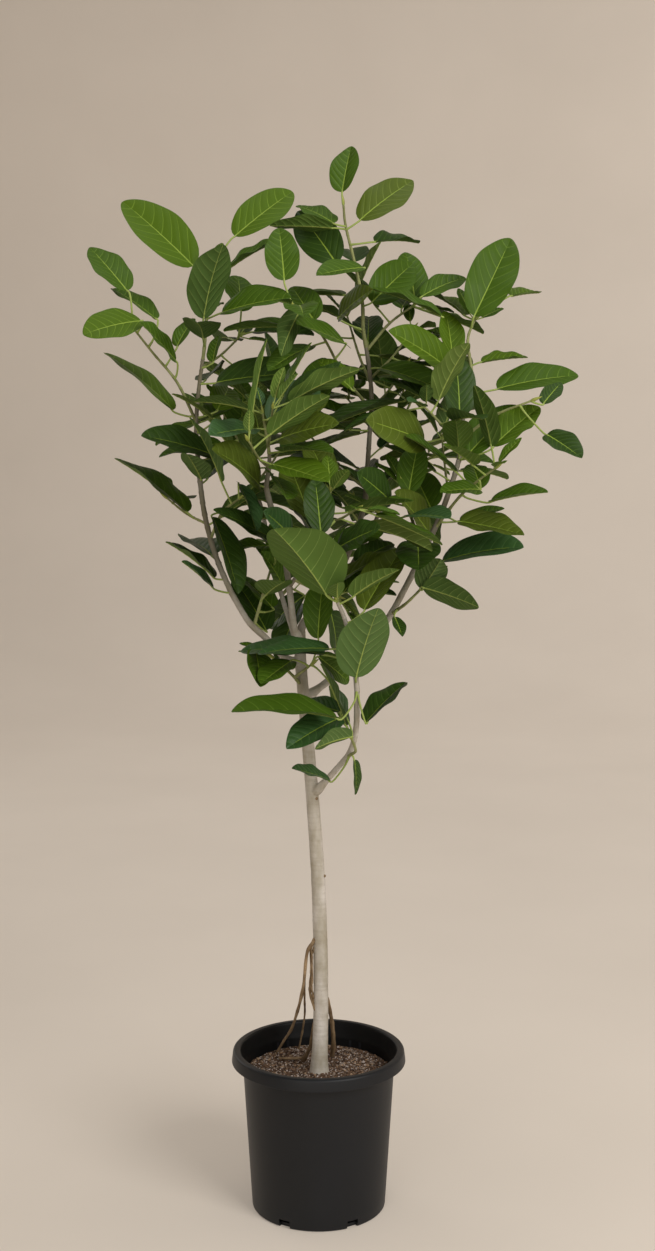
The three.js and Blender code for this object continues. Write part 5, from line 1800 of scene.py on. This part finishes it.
def chipShape(draw):
    ball = bmesh.new()
    bmesh.ops.create_icosphere(ball, subdivisions=1, radius=1)
    stretch = [draw(*ends) for ends in soilLook["stretch"]]
    knobbly = soilLook["knobbly"]
    points = np.array([[v.co[k] * stretch[k] * draw(*knobbly) for k in range(3)] for v in ball.verts])
    faces = [tuple(v.index for v in face.verts) for face in ball.faces]
    ball.free()
    return points, faces


def tipped(yaw, pitch):
    cy, sy, cp, sp = math.cos(yaw), math.sin(yaw), math.cos(pitch), math.sin(pitch)
    return np.array([[cy * cp, -sy, cy * sp], [sy * cp, cy, sy * sp], [-sp, 0, cp]])


def buildChips():
    look = soilLook
    draw = dice(look["seed"])
    shapes = [chipShape(draw) for _ in range(look["shapes"])]
    names = list(chipTints)
    reach = soilRadius(soilLevel)
    chips = Heap()
    for index in range(look["chips"] + look["grains"]):
        isGrain = index >= look["chips"]
        r, a = reach * math.sqrt(draw(0, 1)) * look["spread"], draw(0, 2 * math.pi)
        x, y = r * math.cos(a), r * math.sin(a)
        if fromTrunk(x, y) < look["trunkClear"]:
            continue
        size = draw(*(look["grainSize"] if isGrain else look["chipSize"]))
        shape, faces = shapes[int(draw(0, look["shapes"] - 0.01))]
        turn = tipped(draw(0, 2 * math.pi), draw(-look["tip"], look["tip"]))
        scale = np.array([1, 1, look["grainHeight"] if isGrain else 1]) * size * 0.5
        deal = look["chipDeal"]
        slot = len(names) if isGrain else names.index(deal[int(draw(0, len(deal) - 0.01))])
        place = (x, y, soilHeight(x, y) + size * look["lift"])
        chips.put((shape * scale) @ turn.T + place, faces, [slot] * len(faces))
    materials = [crumbMaterial("chip_" + name, pale, dimmed(pale, look["chipShade"]), scale=420)
                 for name, pale in chipTints.items()]
    materials.append(crumbMaterial("white_grain", *look["grainTints"], scale=600))
    return chips.make("soil_chips", materials, smooth=False)


def buildSoil():
    for piece in (buildEarth(), buildChips()):
        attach(piece, "root")
        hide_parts("soil")


buildSoil()
print("pot and soil made")


# Stage: a seamless pale sweep that glows with painted light, soft studio lights, and the camera
stageLook = {
    "paint": [tint(200, 190, 178), tint(204, 194, 182)],
    "floorRadius": 4.5,
    "bend": 3.0,
    "wallHeight": 8.0,
    "drop": 0.0006,  # the floor lies this much below the pot
    "glow": {  # painted light: how strongly the sweep glows along each axis: from where to where, and its share at both
        "Y": [(-3, 4), (0.23, 0.47)],
        "X": [(-2, 2), (0.58, 1.12)],
        "Z": [(0, 4), (1.04, 0.92)],
    },
    "air": (1.0, 0.975, 0.945, 1),
    "ambient": 0.15,
}
lampLook = {  # place, aim, size, power and colour
    "key": [(2.4, -3.0, 2.9), (0, 0, 1.1), 2.0, 112, (1, 0.99, 0.97)],
    "fill": [(-1.1, -4.1, 1.7), (0, 0, 1.1), 3.0, 46, (1, 0.99, 0.98)],
    "top": [(0.2, -0.2, 4.2), (0, 0.1, 1.0), 2.2, 30, (1, 1, 1)],
    "back": [(-3.0, 3.2, 2.7), (0, 0, 1.1), 2.4, 24, (1, 1, 0.99)],
}
cameraLook = {"place": (0.0155, -2.936, 1.398), "downward": 7.13, "lens": 50, "sensor": 36}


def stageMaterial():
    material, tree, shader = newMaterial("studio_sweep", 0.9, 0.1)
    mottle = ramp(tree, noiseNode(tree, 1.3, 3), 0.3, 0.7)
    paint = mixColour(tree, mottle, *stageLook["paint"])
    link(tree, paint, shader.inputs["Base Color"])
    # painted light: the sweep's colour also glows, brighter to the right, towards the back and low down
    link(tree, paint, shader.inputs["Emission Color"])
    place = splitPlace(tree)
    glow = 1
    for axis, (span, shares) in stageLook["glow"].items():
        glow = mathNode(tree, "MULTIPLY", glow, ramp(tree, place[axis], *span, *shares))
    link(tree, glow, shader.inputs["Emission Strength"])
    material.cycles.emission_sampling = "NONE"
    return material


# A pale sweep that closes all round, so that the plant has the same ground behind it from every side
def buildSweep():
    radius, bend = stageLook["floorRadius"], stageLook["bend"]
    profile = [(0, 0), (1.5, 0), (radius, 0)]
    for k in range(1, 17):
        a = math.pi / 2 * k / 16
        profile.append((radius + bend * math.sin(a), bend * (1 - math.cos(a))))
    profile.append((radius + bend, stageLook["wallHeight"]))
    points, faces = lathe([(r, z - stageLook["drop"]) for r, z in profile], 96)
    sweep = meshObject("studio_floor", points, faces, [0] * len(faces), [stageMaterial()])


def softLight(name, place, aim, size, power, colour):
    light = bpy.data.lights.new(name, "AREA")
    light.shape, light.size = "SQUARE", size
    light.energy, light.color = power, colour
    lamp = bpy.data.objects.new(name, light)
    lamp.location = place
    lamp.rotation_euler = (Vector(aim) - Vector(place)).to_track_quat("-Z", "Y").to_euler()
    bpy.context.scene.collection.objects.link(lamp)


def buildCamera():
    camera = bpy.data.cameras.new("camera")
    camera.lens, camera.sensor_width, camera.sensor_fit = cameraLook["lens"], cameraLook["sensor"], "AUTO"
    eye = bpy.data.objects.new("camera", camera)
    eye.location = cameraLook["place"]
    eye.rotation_euler = (math.radians(90 - cameraLook["downward"]), 0, 0)
    bpy.context.scene.collection.objects.link(eye)
    bpy.context.scene.camera = eye


def buildStage():
    buildSweep()
    for name, look in lampLook.items():
        softLight(name + "_light", *look)
    world = bpy.data.worlds.new("studio_air")
    world.use_nodes = True
    air = world.node_tree.nodes["Background"]
    air.inputs["Color"].default_value = stageLook["air"]
    air.inputs["Strength"].default_value = stageLook["ambient"]
    bpy.context.scene.world = world
    view = bpy.context.scene.view_settings
    view.view_transform, view.look = "Standard", "None"
    buildCamera()


buildStage()
print("stage set")
